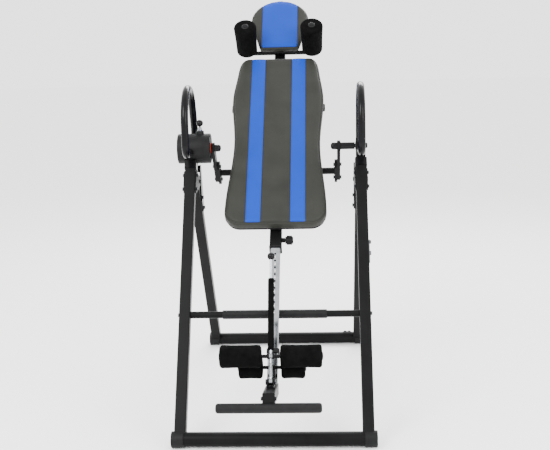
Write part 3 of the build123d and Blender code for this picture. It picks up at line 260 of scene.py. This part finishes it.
def leatherette(name, bands, front_depth):
    """Calendered vinyl leatherette: pebbled grain, warm charcoal, with blue panels let into its front.

    bands are the panels' inner and outer edges from the middle, in millimetres, and front_depth is how far
    out of the bed the front panel begins, past which the side wall stays charcoal.
    """
    settings = {"Roughness": 0.46, "IOR": 1.48, "Specular IOR Level": 0.13}
    material, tree, shader, place = new_material(name, settings)
    pebbles = add(tree, "ShaderNodeTexVoronoi", {"Scale": 0.55, "feature": "SMOOTH_F1"}, {"Vector": place})
    creases = add(tree, "ShaderNodeTexNoise", {"Scale": 0.2, "Detail": 5.0}, {"Vector": place})
    shade = add(tree, "ShaderNodeTexNoise", {"Scale": 0.008, "Detail": 4.0}, {"Vector": place})
    charcoal = two_tone(tree, shader, shade.outputs["Fac"], "#1e1f1c", "#262723")
    blue = add(tree, "ShaderNodeMixRGB", {"Color1": linear("#002c88"), "Color2": linear("#003398")},
               {"Fac": shade.outputs["Fac"]})
    axes = add(tree, "ShaderNodeSeparateXYZ", links={"Vector": place})
    sideways = add(tree, "ShaderNodeMath", {"operation": "ABSOLUTE"}, {0: axes.outputs["X"]})
    inner, outer = bands
    past = add(tree, "ShaderNodeMath", {"operation": "GREATER_THAN", 1: inner}, {0: sideways.outputs[0]})
    within = add(tree, "ShaderNodeMath", {"operation": "LESS_THAN", 1: outer}, {0: sideways.outputs[0]})
    settings = {"operation": "DOT_PRODUCT", 1: OUT_OF_BED}
    depth = add(tree, "ShaderNodeVectorMath", settings, {0: place})
    settings = {"operation": "GREATER_THAN", 1: front_depth}
    in_front = add(tree, "ShaderNodeMath", settings, {0: depth.outputs["Value"]})
    band = add(tree, "ShaderNodeMath", {"operation": "MULTIPLY"}, {0: past.outputs[0], 1: within.outputs[0]})
    both = {0: band.outputs[0], 1: in_front.outputs[0]}
    panel = add(tree, "ShaderNodeMath", {"operation": "MULTIPLY"}, both)
    colours = {"Fac": panel.outputs[0], "Color1": charcoal, "Color2": blue.outputs["Color"]}
    cover = add(tree, "ShaderNodeMixRGB", links=colours)
    tree.links.new(cover.outputs["Color"], shader.inputs["Base Color"])
    heights = {0: pebbles.outputs["Distance"], 1: creases.outputs["Fac"]}
    grain = add(tree, "ShaderNodeMath", {"operation": "ADD"}, heights)
    relief(tree, shader, grain.outputs[0], 0.16)
    spread(tree, shader, creases.outputs["Fac"], 0.4, 0.54)
    return material


POWDER_COAT = powder_coat()
ENAMEL = gloss_enamel()
CHROME = chrome_plate()
ZINC = zinc_plate()
ROD = chromed_rod()
SPRING_STEEL = spring_wire()
GREY_PAINT = grey_paint()
ABS = moulded_plastic("abs_black_grained", "#09090a", "#101011", 0.52, 0.08)
GLOSS_ABS = moulded_plastic("abs_black_polished", "#060607", "#0b0b0c", 0.2, 0.01)
RED_PLASTIC = moulded_plastic("polypropylene_red", "#8a1e0a", "#a42a10", 0.4, 0.04)
SCALE_PRINT = moulded_plastic("printed_white_ink", "#e4e4e2", "#f2f2f0", 0.45, 0.01)
FOAM = closed_cell_foam("rubber_foam_black", "#040404", "#0a0a0a", 0.85, 0.04)
GRIP_FOAM = closed_cell_foam("grip_foam_black", "#070708", "#0f0f10", 0.5, 0.2)
PLYWOOD = covered_plywood()
THREAD = moulded_plastic("polyester_thread_charcoal", "#1c1d1b", "#282926", 0.7, 0.05)

FINISHES = {
    "satin_black": POWDER_COAT,
    "gloss_black": ENAMEL,
    "grey_steel": GREY_PAINT,
    "chrome": CHROME,
    "zinc": ZINC,
    "black_plastic": ABS,
    "gloss_plastic": GLOSS_ABS,
    "red_plastic": RED_PLASTIC,
    "black_foam": FOAM,
    "bumper_foam": GRIP_FOAM,
    "leatherette": ABS,
    "board_ply": PLYWOOD,
}
for subpart in frame["record"]["subparts"]:
    slots = frame["nodes"][subpart["node"]].data.materials
    slots.clear()
    slots.append(FINISHES[subpart["material_slot"]])
# the rod keeps its chrome slot, and its cross axle is enamelled
frame["nodes"]["lever_rod"].data.materials[0] = ROD


# ---------------------------------------------------------------- making pieces
def piece(name, mesh, body, slot, *materials):
    """A finished piece that rides on a body and takes the given materials; its slot is not used."""
    made = bpy.data.objects.new(name, mesh)
    bpy.context.scene.collection.objects.link(made)
    mesh.materials.clear()
    for material in materials:
        mesh.materials.append(material)
    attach(made, body)
    return made


def smooth(mesh, sharp_above=35.0):
    """Smooth shading, kept sharp at edges above an angle in degrees."""
    mesh.polygons.foreach_set("use_smooth", [True] * len(mesh.polygons))
    mesh.set_sharp_from_angle(angle=math.radians(sharp_above))


def turned(name, profile, start, axis, segments=64):
    """A mesh turned round an axis from start, whose profile is a closed run of distance, radius pairs."""
    axis = axis.normalized()
    sideways = axis.orthogonal().normalized()
    other = axis.cross(sideways)
    form = bmesh.new()
    rings = []
    for along, radius in profile:
        ring = []
        for index in range(segments):
            angle = math.tau * index / segments
            spoke = math.cos(angle) * sideways + math.sin(angle) * other
            ring.append(form.verts.new(start + along * axis + radius * spoke))
        rings.append(ring)
    for ring, following in zip(rings, rings[1:] + rings[:1]):
        for index in range(segments):
            after = (index + 1) % segments
            form.faces.new((ring[index], ring[after], following[after], following[index]))
    bmesh.ops.remove_doubles(form, verts=form.verts, dist=1e-6)
    bmesh.ops.recalc_face_normals(form, faces=form.faces)
    mesh = bpy.data.meshes.new(name)
    form.to_mesh(mesh)
    form.free()
    smooth(mesh)
    return mesh


def rounded_profile(length, near_r, far_r, bore, corner, belly=0.0, steps=6, stations=10):
    """A sleeve's profile: two rounded ends, a body that may belly out, and the bore back again."""
    outside = []
    for step in range(steps + 1):
        angle = math.pi / 2 * step / steps
        outside.append((corner - corner * math.cos(angle), near_r - corner + corner * math.sin(angle)))
    for station in range(1, stations):
        share = station / stations
        swell = belly * math.sin(math.pi * share)
        outside.append((corner + share * (length - 2 * corner), near_r + share * (far_r - near_r) + swell))
    for step in range(steps + 1):
        angle = math.pi / 2 * (1 - step / steps)
        along = length - corner + corner * math.cos(angle)
        outside.append((along, far_r - corner + corner * math.sin(angle)))
    return outside + [(length, bore), (0.0, bore)]


def merged_copy(node):
    """A CAD node's shape as one welded mesh in a form of its own."""
    form = bmesh.new()
    form.from_mesh(frame["nodes"][node].data)
    bmesh.ops.remove_doubles(form, verts=form.verts, dist=1e-6)
    return form


def evaluated(made):
    """A plain mesh of an object with its modifiers applied."""
    graph = bpy.context.evaluated_depsgraph_get()
    graph.update()
    return bpy.data.meshes.new_from_object(made.evaluated_get(graph))


# ---------------------------------------------------------------- padded covers
VOXEL = 5 * MM
PUFF_LIMIT = 6 * MM
SEAM_HALF = 3.5 * MM
SEAM_DEPTH = 2.2 * MM
WELT_BELOW = 7 * MM  # welt seam under the crown of the front panel


def sewn_share(point, seams, back, front):
    """1 where the cover is sewn or rests on its board, and 0 where it is free to swell."""
    out = (point - PIVOT).dot(OUT_OF_BED)
    if out < back + 2 * MM:
        return 1.0
    if out < front - 2 * WELT_BELOW:
        return 0.6
    nearest = min(abs(abs(point.x) - seam) for seam in seams)
    return max(0.0, 1.0 - nearest / (2 * SEAM_HALF))


def inflated(mesh, name, seams, back, front):
    """The cover swelled by its foam: a short cloth simulation held along its seams and its board."""
    blown = bpy.data.objects.new(name, mesh)
    bpy.context.scene.collection.objects.link(blown)
    held = blown.vertex_groups.new(name="sewn")
    start = [vertex.co.copy() for vertex in mesh.vertices]
    for vertex in mesh.vertices:
        held.add([vertex.index], sewn_share(vertex.co, seams, back, front), "REPLACE")
    cloth = blown.modifiers.new("swell", "CLOTH")
    cloth.settings.quality = 5
    cloth.settings.mass = 0.4
    cloth.settings.tension_stiffness = 40
    cloth.settings.compression_stiffness = 40
    cloth.settings.shear_stiffness = 20
    cloth.settings.bending_stiffness = 4
    cloth.settings.use_pressure = True
    cloth.settings.uniform_pressure_force = 4
    cloth.settings.vertex_group_mass = "sewn"
    cloth.settings.effector_weights.gravity = 0
    cloth.point_cache.frame_start = 1
    cloth.point_cache.frame_end = 20
    scene = bpy.context.scene
    for step in range(1, 21):
        scene.frame_set(step)
    swelled = evaluated(blown)
    for vertex, before in zip(swelled.vertices, start):
        move = vertex.co - before
        if move.length > PUFF_LIMIT:
            vertex.co = before + move.normalized() * PUFF_LIMIT
    scene.frame_set(1)
    bpy.data.objects.remove(blown)
    return swelled


def crown(point, seams, half_width, back, front):
    """How far the front face stands out between its seams."""
    edges = [0.0] + list(seams) + [half_width]
    sideways = abs(point.x)
    out = (point - PIVOT).dot(OUT_OF_BED)
    if out < front - 3 * MM:
        return 0.0
    for low, high in zip(edges, edges[1:]):
        if low <= sideways <= high:
            centre = 0.0 if low == 0.0 else (low + high) / 2
            reach = high if low == 0.0 else (high - low) / 2
            share = (sideways - centre) / reach
            return 2.0 * MM * (1 - share * share)
    return 0.0


def padded_cover(name, node, body, seams, material):
    """A sewn cushion in a CAD pad's place: remeshed, swelled, with its seams pressed in afterwards."""
    back, front = extent(node, OUT_OF_BED)
    half_width = extent(node, ACROSS)[1]
    form = merged_copy(node)
    for vertex in form.verts:
        out = (vertex.co - PIVOT).dot(OUT_OF_BED)
        vertex.co -= min(1.0, (out - back) / (front - back)) * 1.5 * MM * OUT_OF_BED
    mesh = bpy.data.meshes.new(name)
    form.to_mesh(mesh)
    form.free()
    shell = bpy.data.objects.new(name, mesh)
    bpy.context.scene.collection.objects.link(shell)
    remesh = shell.modifiers.new("even", "REMESH")
    remesh.mode = "VOXEL"
    remesh.voxel_size = VOXEL
    relax = shell.modifiers.new("relax", "SMOOTH")
    relax.iterations = 4
    even = evaluated(shell)
    bpy.data.objects.remove(shell)
    even = inflated(even, name, seams, back, front)
    form = bmesh.new()
    form.from_mesh(even)
    bmesh.ops.subdivide_edges(form, edges=form.edges, cuts=1, use_grid_fill=True, smooth=0.0)
    every_way = {"use_axis_x": True, "use_axis_y": True, "use_axis_z": True}
    bmesh.ops.smooth_vert(form, verts=form.verts, factor=0.5, **every_way)
    form.normal_update()
    welt = front - WELT_BELOW
    for vertex in form.verts:
        out = (vertex.co - PIVOT).dot(OUT_OF_BED)
        vertex.co += crown(vertex.co, seams, half_width, back, front) * OUT_OF_BED
        if out > welt:
            nearest = min(abs(abs(vertex.co.x) - seam) for seam in seams)
            if nearest < SEAM_HALF:
                share = 0.5 + 0.5 * math.cos(math.pi * nearest / SEAM_HALF)
                vertex.co -= share * SEAM_DEPTH * vertex.normal
        rise = abs(out - welt)
        if rise < SEAM_HALF:
            share = 0.5 + 0.5 * math.cos(math.pi * rise / SEAM_HALF)
            vertex.co -= share * SEAM_DEPTH * vertex.normal
    bmesh.ops.recalc_face_normals(form, faces=form.faces)
    cover = bpy.data.meshes.new(name)
    form.to_mesh(cover)
    form.free()
    cover.polygons.foreach_set("use_smooth", [True] * len(cover.polygons))
    made = piece(name, cover, body, "leatherette", material)
    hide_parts(node)
    return made


def section(made, point, normal, keep):
    """The closed or open run of points where a plane cuts a mesh, as far as keep says to follow it."""
    form = bmesh.new()
    form.from_mesh(made.data)
    everything = form.verts[:] + form.edges[:] + form.faces[:]
    cut = bmesh.ops.bisect_plane(form, geom=everything, plane_co=point, plane_no=normal)["geom_cut"]
    edges = [item for item in cut if isinstance(item, bmesh.types.BMEdge)]
    edges = [edge for edge in edges if all(keep(vertex.co) for vertex in edge.verts)]
    links = {}
    for edge in edges:
        first, second = edge.verts
        links.setdefault(first, []).append(second)
        links.setdefault(second, []).append(first)
    loose_ends = [vertex for vertex, near in links.items() if len(near) == 1]
    walker = loose_ends[0] if loose_ends else next(iter(links))
    run = [walker]
    seen = {walker}
    while True:
        onward = [vertex for vertex in links[walker] if vertex not in seen]
        if not onward:
            break
        walker = onward[0]
        seen.add(walker)
        run.append(walker)
    points = [vertex.co.copy() for vertex in run]
    form.free()
    return points, not loose_ends


def curve_through(name, points, closed):
    """A poly curve through a run of points."""
    curve = bpy.data.curves.new(name, "CURVE")
    curve.dimensions = "3D"
    spline = curve.splines.new("POLY")
    spline.points.add(len(points) - 1)
    for place, point in zip(spline.points, points):
        place.co = (*point, 1.0)
    spline.use_cyclic_u = closed
    return curve


# ---------------------------------------------------------------- geometry node trees
def tree_with(name, sizes):
    """A geometry tree with a geometry input, named size inputs and their starting values."""
    tree = bpy.data.node_groups.new(name, "GeometryNodeTree")
    tree.interface.new_socket("Geometry", in_out="INPUT", socket_type="NodeSocketGeometry")
    for label, value in sizes.items():
        kind = "NodeSocketInt" if isinstance(value, int) else "NodeSocketFloat"
        socket = tree.interface.new_socket(label, in_out="INPUT", socket_type=kind)
        socket.default_value = value
    tree.interface.new_socket("Geometry", in_out="OUTPUT", socket_type="NodeSocketGeometry")
    entry = add(tree, "NodeGroupInput")
    return tree, entry.outputs


def end_tree(tree, geometry, material):
    """Closes a tree: instances made real, and the material set."""
    real = add(tree, "GeometryNodeRealizeInstances", links={"Geometry": geometry})
    links = {"Geometry": real.outputs["Geometry"]}
    coated = add(tree, "GeometryNodeSetMaterial", {"Material": material}, links)
    add(tree, "NodeGroupOutput", links={"Geometry": coated.outputs["Geometry"]})
    return tree


def grown(name, base, tree, inputs, body, slot, material):
    """A piece grown by a geometry tree on a curve or mesh, as a plain mesh."""
    seed = bpy.data.objects.new(name + "_seed", base)
    bpy.context.scene.collection.objects.link(seed)
    modifier = seed.modifiers.new("grow", "NODES")
    modifier.node_group = tree
    for item in tree.interface.items_tree:
        if item.in_out == "INPUT" and item.name in inputs:
            modifier[item.identifier] = inputs[item.name]
    mesh = evaluated(seed)
    seed.modifiers.remove(modifier)
    bpy.data.objects.remove(seed)
    smooth(mesh, 50.0)
    return piece(name, mesh, body, slot, material)


def stitch_tree(name, material):
    """Short threads laid end to end along a seam, one straight thread at each resampled point."""
    sizes = {"Pitch": 5 * MM, "Thread": 0.55 * MM}
    tree, entry = tree_with(name, sizes)
    settings = {"mode": "LENGTH"}
    along = {"Curve": entry["Geometry"], "Length": entry["Pitch"]}
    evenly = add(tree, "GeometryNodeResampleCurve", settings, along)
    to_points = {"Curve": evenly.outputs["Curve"]}
    spots = add(tree, "GeometryNodeCurveToPoints", {"mode": "EVALUATED"}, to_points)
    length = add(tree, "ShaderNodeMath", {"operation": "MULTIPLY", 1: 0.72}, {0: entry["Pitch"]})
    settings = {"Vertices": 6, "Side Segments": 2}
    sizes = {"Radius": entry["Thread"], "Depth": length.outputs[0]}
    thread = add(tree, "GeometryNodeMeshCylinder", settings, sizes)
    links = {
        "Points": spots.outputs["Points"],
        "Instance": thread.outputs["Mesh"],
        "Rotation": spots.outputs["Rotation"],
    }
    laid = add(tree, "GeometryNodeInstanceOnPoints", links=links)
    return end_tree(tree, laid.outputs["Instances"], material)


def cord_tree(name, material):
    """A round cord along a curve: a welt, a coil of wire or a bead."""
    tree, entry = tree_with(name, {"Radius": 1.5 * MM, "Spacing": 3 * MM})
    settings = {"mode": "LENGTH"}
    along = {"Curve": entry["Geometry"], "Length": entry["Spacing"]}
    evenly = add(tree, "GeometryNodeResampleCurve", settings, along)
    ring = add(tree, "GeometryNodeCurvePrimitiveCircle", {"Resolution": 10}, {"Radius": entry["Radius"]})
    links = {"Curve": evenly.outputs["Curve"], "Profile Curve": ring.outputs["Curve"]}
    swept = add(tree, "GeometryNodeCurveToMesh", {"Fill Caps": True}, links)
    return end_tree(tree, swept.outputs["Mesh"], material)


def bead_tree(name, material):
    """A weld: overlapping round drops of slightly random size, one for each dab of the torch along a joint."""
    tree, entry = tree_with(name, {"Pitch": 2.2 * MM, "Drop": 2.6 * MM})
    settings = {"mode": "LENGTH"}
    along = {"Curve": entry["Geometry"], "Length": entry["Pitch"]}
    evenly = add(tree, "GeometryNodeResampleCurve", settings, along)
    spots = add(tree, "GeometryNodeCurveToPoints", {"mode": "EVALUATED"}, {"Curve": evenly.outputs["Curve"]})
    drop = add(tree, "GeometryNodeMeshIcoSphere", {"Subdivisions": 2}, {"Radius": entry["Drop"]})
    settings = {"data_type": "FLOAT", 2: 0.85, 3: 1.1, "Seed": 7}
    scatter = add(tree, "FunctionNodeRandomValue", settings)
    links = {
        "Points": spots.outputs["Points"],
        "Instance": drop.outputs["Mesh"],
        "Scale": scatter.outputs[1],
    }
    laid = add(tree, "GeometryNodeInstanceOnPoints", links=links)
    return end_tree(tree, laid.outputs["Instances"], material)


STITCHES = stitch_tree("stitch_row", THREAD)
WELT_CORD = cord_tree("welt_cord", THREAD)
WIRE = cord_tree("spring_wire", SPRING_STEEL)
WELD = bead_tree("weld_bead", POWDER_COAT)


# ---------------------------------------------------------------- backrest and headrest
BACK_SEAMS = (55 * MM, 110 * MM)
HEAD_SEAMS = (75 * MM,)


def front_depth(node):
    """How far out of the bed, from the part's own origin, the welt of a pad's front panel lies, in mm."""
    return (PIVOT.dot(OUT_OF_BED) + extent(node, OUT_OF_BED)[1] - WELT_BELOW) / MM


def sewn_pad(name, node, body, seams, bands):
    """One cushion with its welt and the double stitching along its panels."""
    depth = front_depth(node)
    cover = padded_cover(name, node, body, seams, leatherette(f"leatherette_{name}", bands, depth))
    front = extent(node, OUT_OF_BED)[1]
    welt_at = PIVOT + (front - WELT_BELOW) * OUT_OF_BED
    points, closed = section(cover, welt_at, OUT_OF_BED, lambda point: True)
    welt = curve_through(f"{name}_welt", points, closed)
    sizes = {"Radius": 1.3 * MM, "Spacing": 4 * MM}
    grown(f"{name}_welt", welt, WELT_CORD, sizes, body, "leatherette", THREAD)

    def in_front(point):
        return (point - PIVOT).dot(OUT_OF_BED) > front - WELT_BELOW

    for side, word in ((-1, "left"), (1, "right")):
        for index, seam in enumerate(seams):
            beside = seam + (4 * MM if index == len(seams) - 1 else -4 * MM)
            points, closed = section(cover, side * beside * ACROSS, ACROSS, in_front)
            row = curve_through(f"{name}_{word}_stitches_{index}", points, closed)
            grown(row.name, row, STITCHES, {}, body, "leatherette", THREAD)
    return cover


backrest = sewn_pad("backrest_cushion", "backrest_pad", "bed", BACK_SEAMS, [seam / MM for seam in BACK_SEAMS])
headrest = sewn_pad("headrest_cushion", "headrest_pad", "headrest", HEAD_SEAMS, (-1.0, HEAD_SEAMS[0] / MM))


# ---------------------------------------------------------------- foam rollers, grip, bumper and foot bar
def foam_sleeve(name, node, body, centre, axis, near_r, far_r, bore, corner, belly=0.0, slot="black_foam"):
    """A foam sleeve turned in a CAD sleeve's place, from its low end to its high end along an axis."""
    reach = [(vertex.co - centre).dot(axis) for vertex in frame["nodes"][node].data.vertices]
    low, high = min(reach), max(reach)
    profile = rounded_profile(high - low, near_r, far_r, bore, corner, belly)
    made = piece(name, turned(name, profile, centre + low * axis, axis), body, slot, FINISHES[slot])
    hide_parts(node)
    return low, high


def end_cap(name, body, centre, axis, at, radius, dome=3 * MM):
    """A shallow moulded cap pushed on the end of an axle, facing along the axis."""
    profile = [(-1 * MM, 0.0)]
    profile += [(-1 * MM, radius), (0.8 * MM, radius)]
    for step in range(1, 6):
        share = step / 5
        angle = math.pi / 2 * share
        profile.append((0.8 * MM + dome * math.sin(angle), radius * math.cos(angle)))
    return piece(name, turned(name, profile, centre + at * axis, axis, 40), body, "black_plastic", ABS)


HEAD_NEAR_R = 43 * MM
HEAD_FAR_R = 47 * MM
for side, word in ((-1, "left"), (1, "right")):
    head_centre = Vector(JOINTS[f"{word}_head_roller_turn"]["pos_m"])
    low, high = foam_sleeve(
        f"{word}_head_foam", f"{word}_head_roller", f"{word}_head_roller",
        head_centre, OUT_OF_BED, HEAD_NEAR_R, HEAD_FAR_R, 9.6 * MM, 9 * MM, -0.8 * MM,
    )
    end_cap(f"{word}_head_cap", f"{word}_head_roller", head_centre, OUT_OF_BED, high, 15 * MM)
    for place, axle in (("ankle", ANKLE_AXLE), ("heel", HEEL_AXLE)):
        node = f"{word}_{place}_roller"
        centre = Vector((0, axle.y, axle.z))
        outward = side * ACROSS
        box_low, box_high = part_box(node)
        radius = (box_high[2] - box_low[2]) / 2
        low, high = foam_sleeve(
            f"{word}_{place}_foam", node, node, centre, outward,
            radius, radius, 6.6 * MM, 10 * MM, -1.2 * MM,
        )
        end_cap(f"{word}_{place}_cap", node, centre, outward, high, 14 * MM)

LEVER_UP = ANKLE_AXLE - LEVER_PIVOT
LEVER_UP.x = 0
LEVER_UP.normalize()
LEVER_START = Vector((0, LEVER_PIVOT.y, LEVER_PIVOT.z))
foam_sleeve("lever_grip_foam", "lever_grip", "ankle_lever", LEVER_START, LEVER_UP,
            10.4 * MM, 10.4 * MM, 4.5 * MM, 3.5 * MM)


def middle_of(node):
    """The middle of a CAD node's box, on the part's middle plane."""
    low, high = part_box(node)
    return Vector((0, (low[1] + high[1]) / 2, (low[2] + high[2]) / 2))


foam_sleeve("bumper_foam", "cross_bar_bumper", "front_frame", middle_of("cross_bar_bumper"), ACROSS,
            15.9 * MM, 15.9 * MM, 12.5 * MM, 1.4 * MM, slot="bumper_foam")
foam_sleeve("foot_bar_foam", "foot_bar", "boom", middle_of("foot_bar"), ACROSS,
            16 * MM, 16 * MM, 2 * MM, 9 * MM, slot="bumper_foam")


# ---------------------------------------------------------------- lever spring
def coil(turns, radius, start, axis, length, steps=20):
    """Points of a helix round an axis, at an even pitch from end to end."""
    sideways = axis.orthogonal().normalized()
    other = axis.cross(sideways)
    points = []
    for index in range(turns * steps + 1):
        share = index / (turns * steps)
        angle = math.tau * turns * share
        spoke = math.cos(angle) * sideways + math.sin(angle) * other
        points.append(start + share * length * axis + radius * spoke)
    return points


SPRING_WIRE = 1.1 * MM
reach = [(vertex.co - LEVER_START).dot(LEVER_UP) for vertex in frame["nodes"]["lever_spring"].data.vertices]
spring_low, spring_high = min(reach), max(reach)
helix = coil(11, 6.3 * MM, LEVER_START + (spring_low + SPRING_WIRE) * LEVER_UP, LEVER_UP,
             spring_high - spring_low - 2 * SPRING_WIRE)
sizes = {"Radius": SPRING_WIRE, "Spacing": 1.8 * MM}
spring = grown("lever_coil_spring", curve_through("lever_coil", helix, False), WIRE, sizes,
               "ankle_lever", "zinc", SPRING_STEEL)
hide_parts("lever_spring")


# ---------------------------------------------------------------- welds round the tube joints
def ring_loop(centre, axis, radius, count=40):
    """A circle of points round an axis."""
    sideways = axis.orthogonal().normalized()
    other = axis.cross(sideways)
    turns = [math.tau * index / count for index in range(count)]
    return [centre + radius * (math.cos(turn) * sideways + math.sin(turn) * other) for turn in turns]


cross_middle = middle_of("cross_tube")
rail_half = (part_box("cross_tube")[1][0] - 5 * MM)
for side, word in ((-1, "left"), (1, "right")):
    arm_face = side * (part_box("swing_arms")[1][0])
    hub_ring = ring_loop(Vector((arm_face, PIVOT.y, PIVOT.z)), ACROSS, 14.2 * MM)
    grown(f"{word}_hub_weld", curve_through(f"{word}_hub_weld", hub_ring, True), WELD, {"Drop": 2.0 * MM},
          "bed", "satin_black", POWDER_COAT)
    tube_ring = ring_loop(cross_middle + side * (rail_half - 0.5 * MM) * ACROSS, ACROSS, 13.8 * MM)
    grown(f"{word}_tube_weld", curve_through(f"{word}_tube_weld", tube_ring, True), WELD, {"Drop": 2.2 * MM},
          "bed", "satin_black", POWDER_COAT)
    rail_ring = ring_loop(cross_middle + side * 22.3 * MM * ACROSS, ACROSS, 13.8 * MM)
    grown(f"{word}_rail_weld", curve_through(f"{word}_rail_weld", rail_ring, True), WELD, {"Drop": 2.2 * MM},
          "bed", "satin_black", POWDER_COAT)


# ---------------------------------------------------------------- numbers along the boom
HOLES = 9
HOLE_PITCH = 30 * MM
FIRST_NUMBER = 51 * MM  # below the rail's lower end
DIGIT_HEIGHT = 12 * MM


def boom_numbers():
    """Hole numbers printed down the boom's face, one beside each adjusting hole."""
    face = extent("boom", OUT_OF_BED)[1]
    rail_end = extent("bed_rail", UP_BED)[0]
    digits = bmesh.new()
    for index in range(HOLES):
        text = bpy.data.curves.new("digit", "FONT")
        text.body = str(index + 1)
        text.size = DIGIT_HEIGHT
        text.align_x = "CENTER"
        text.align_y = "CENTER"
        text.extrude = 0.15 * MM
        holder = bpy.data.objects.new("digit", text)
        bpy.context.scene.collection.objects.link(holder)
        mesh = evaluated(holder)
        bpy.data.objects.remove(holder)
        up = rail_end - FIRST_NUMBER - index * HOLE_PITCH
        place = Matrix.Translation(on_bed(0, up, face + 0.05 * MM))
        turn = Matrix((ACROSS, UP_BED, OUT_OF_BED)).transposed().to_4x4()
        mesh.transform(place @ turn)
        digits.from_mesh(mesh)
    mesh = bpy.data.meshes.new("boom_numbers")
    digits.to_mesh(mesh)
    digits.free()
    return piece("boom_numbers", mesh, "boom", "black_plastic", SCALE_PRINT)


boom_numbers()


# ---------------------------------------------------------------- studio
def area_light(name, place, target, width, depth, power):
    """A soft rectangular light that faces a point."""
    light = bpy.data.lights.new(name, "AREA")
    light.shape = "RECTANGLE"
    light.size = width
    light.size_y = depth
    light.energy = power
    lamp = bpy.data.objects.new(name, light)
    bpy.context.scene.collection.objects.link(lamp)
    lamp.location = place
    lamp.rotation_euler = (Vector(target) - Vector(place)).to_track_quat("-Z", "Y").to_euler()


def studio():
    """A pale seamless floor, a white surround and three soft lights."""
    floor_mesh = bpy.data.meshes.new("floor")
    sheet = bmesh.new()
    bmesh.ops.create_grid(sheet, x_segments=1, y_segments=1, size=30)
    sheet.to_mesh(floor_mesh)
    sheet.free()
    floor = bpy.data.objects.new("floor", floor_mesh)
    bpy.context.scene.collection.objects.link(floor)
    settings = {"Base Color": linear("#fbfbfb"), "Roughness": 0.8}
    floor_mesh.materials.append(new_material("studio_paper", settings)[0])
    floor.location.z = -0.5 * MM
    floor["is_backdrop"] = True
    world = bpy.data.worlds.new("studio")
    world.use_nodes = True
    world.node_tree.nodes["Background"].inputs["Color"].default_value = linear("#ffffff")
    world.node_tree.nodes["Background"].inputs["Strength"].default_value = 2.6
    bpy.context.scene.world = world
    middle = (0, 0, 0.8)
    area_light("key", (-2.2, -3.2, 3.4), middle, 2.0, 2.0, 220)
    area_light("fill", (2.6, -2.8, 2.2), middle, 1.6, 2.4, 120)
    area_light("rim", (0.5, 3.0, 3.2), middle, 2.4, 1.2, 140)


def camera():
    """A long lens from the front, a little right of the middle and above the bed."""
    lens = bpy.data.cameras.new("front")
    lens.lens = 66.98
    lens.sensor_width = 36.0
    lens.clip_end = 100.0
    yaw, pitch, roll = math.radians(3.0), math.radians(-10.2), math.radians(-1.4)
    ahead = Vector((-math.sin(yaw), math.cos(yaw), 0.0))
    right = Vector((math.cos(yaw), math.sin(yaw), 0.0))
    upward = Vector((0.0, 0.0, 1.0))
    forward = math.cos(pitch) * ahead + math.sin(pitch) * upward
    above = math.cos(pitch) * upward - math.sin(pitch) * ahead
    camera_x = math.cos(roll) * right + math.sin(roll) * above
    camera_y = math.cos(roll) * above - math.sin(roll) * right
    turn = Matrix((camera_x, camera_y, -forward)).transposed().to_4x4()
    viewer = bpy.data.objects.new("front", lens)
    bpy.context.scene.collection.objects.link(viewer)
    viewer.matrix_world = Matrix.Translation((0.1927, PIVOT.y - 3.8641, PIVOT.z + 0.3960)) @ turn
    bpy.context.scene.camera = viewer


studio()
camera()
low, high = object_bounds()
sizes = {"cad": [list(cad_low), list(cad_high)], "visual": [list(low), list(high)]}
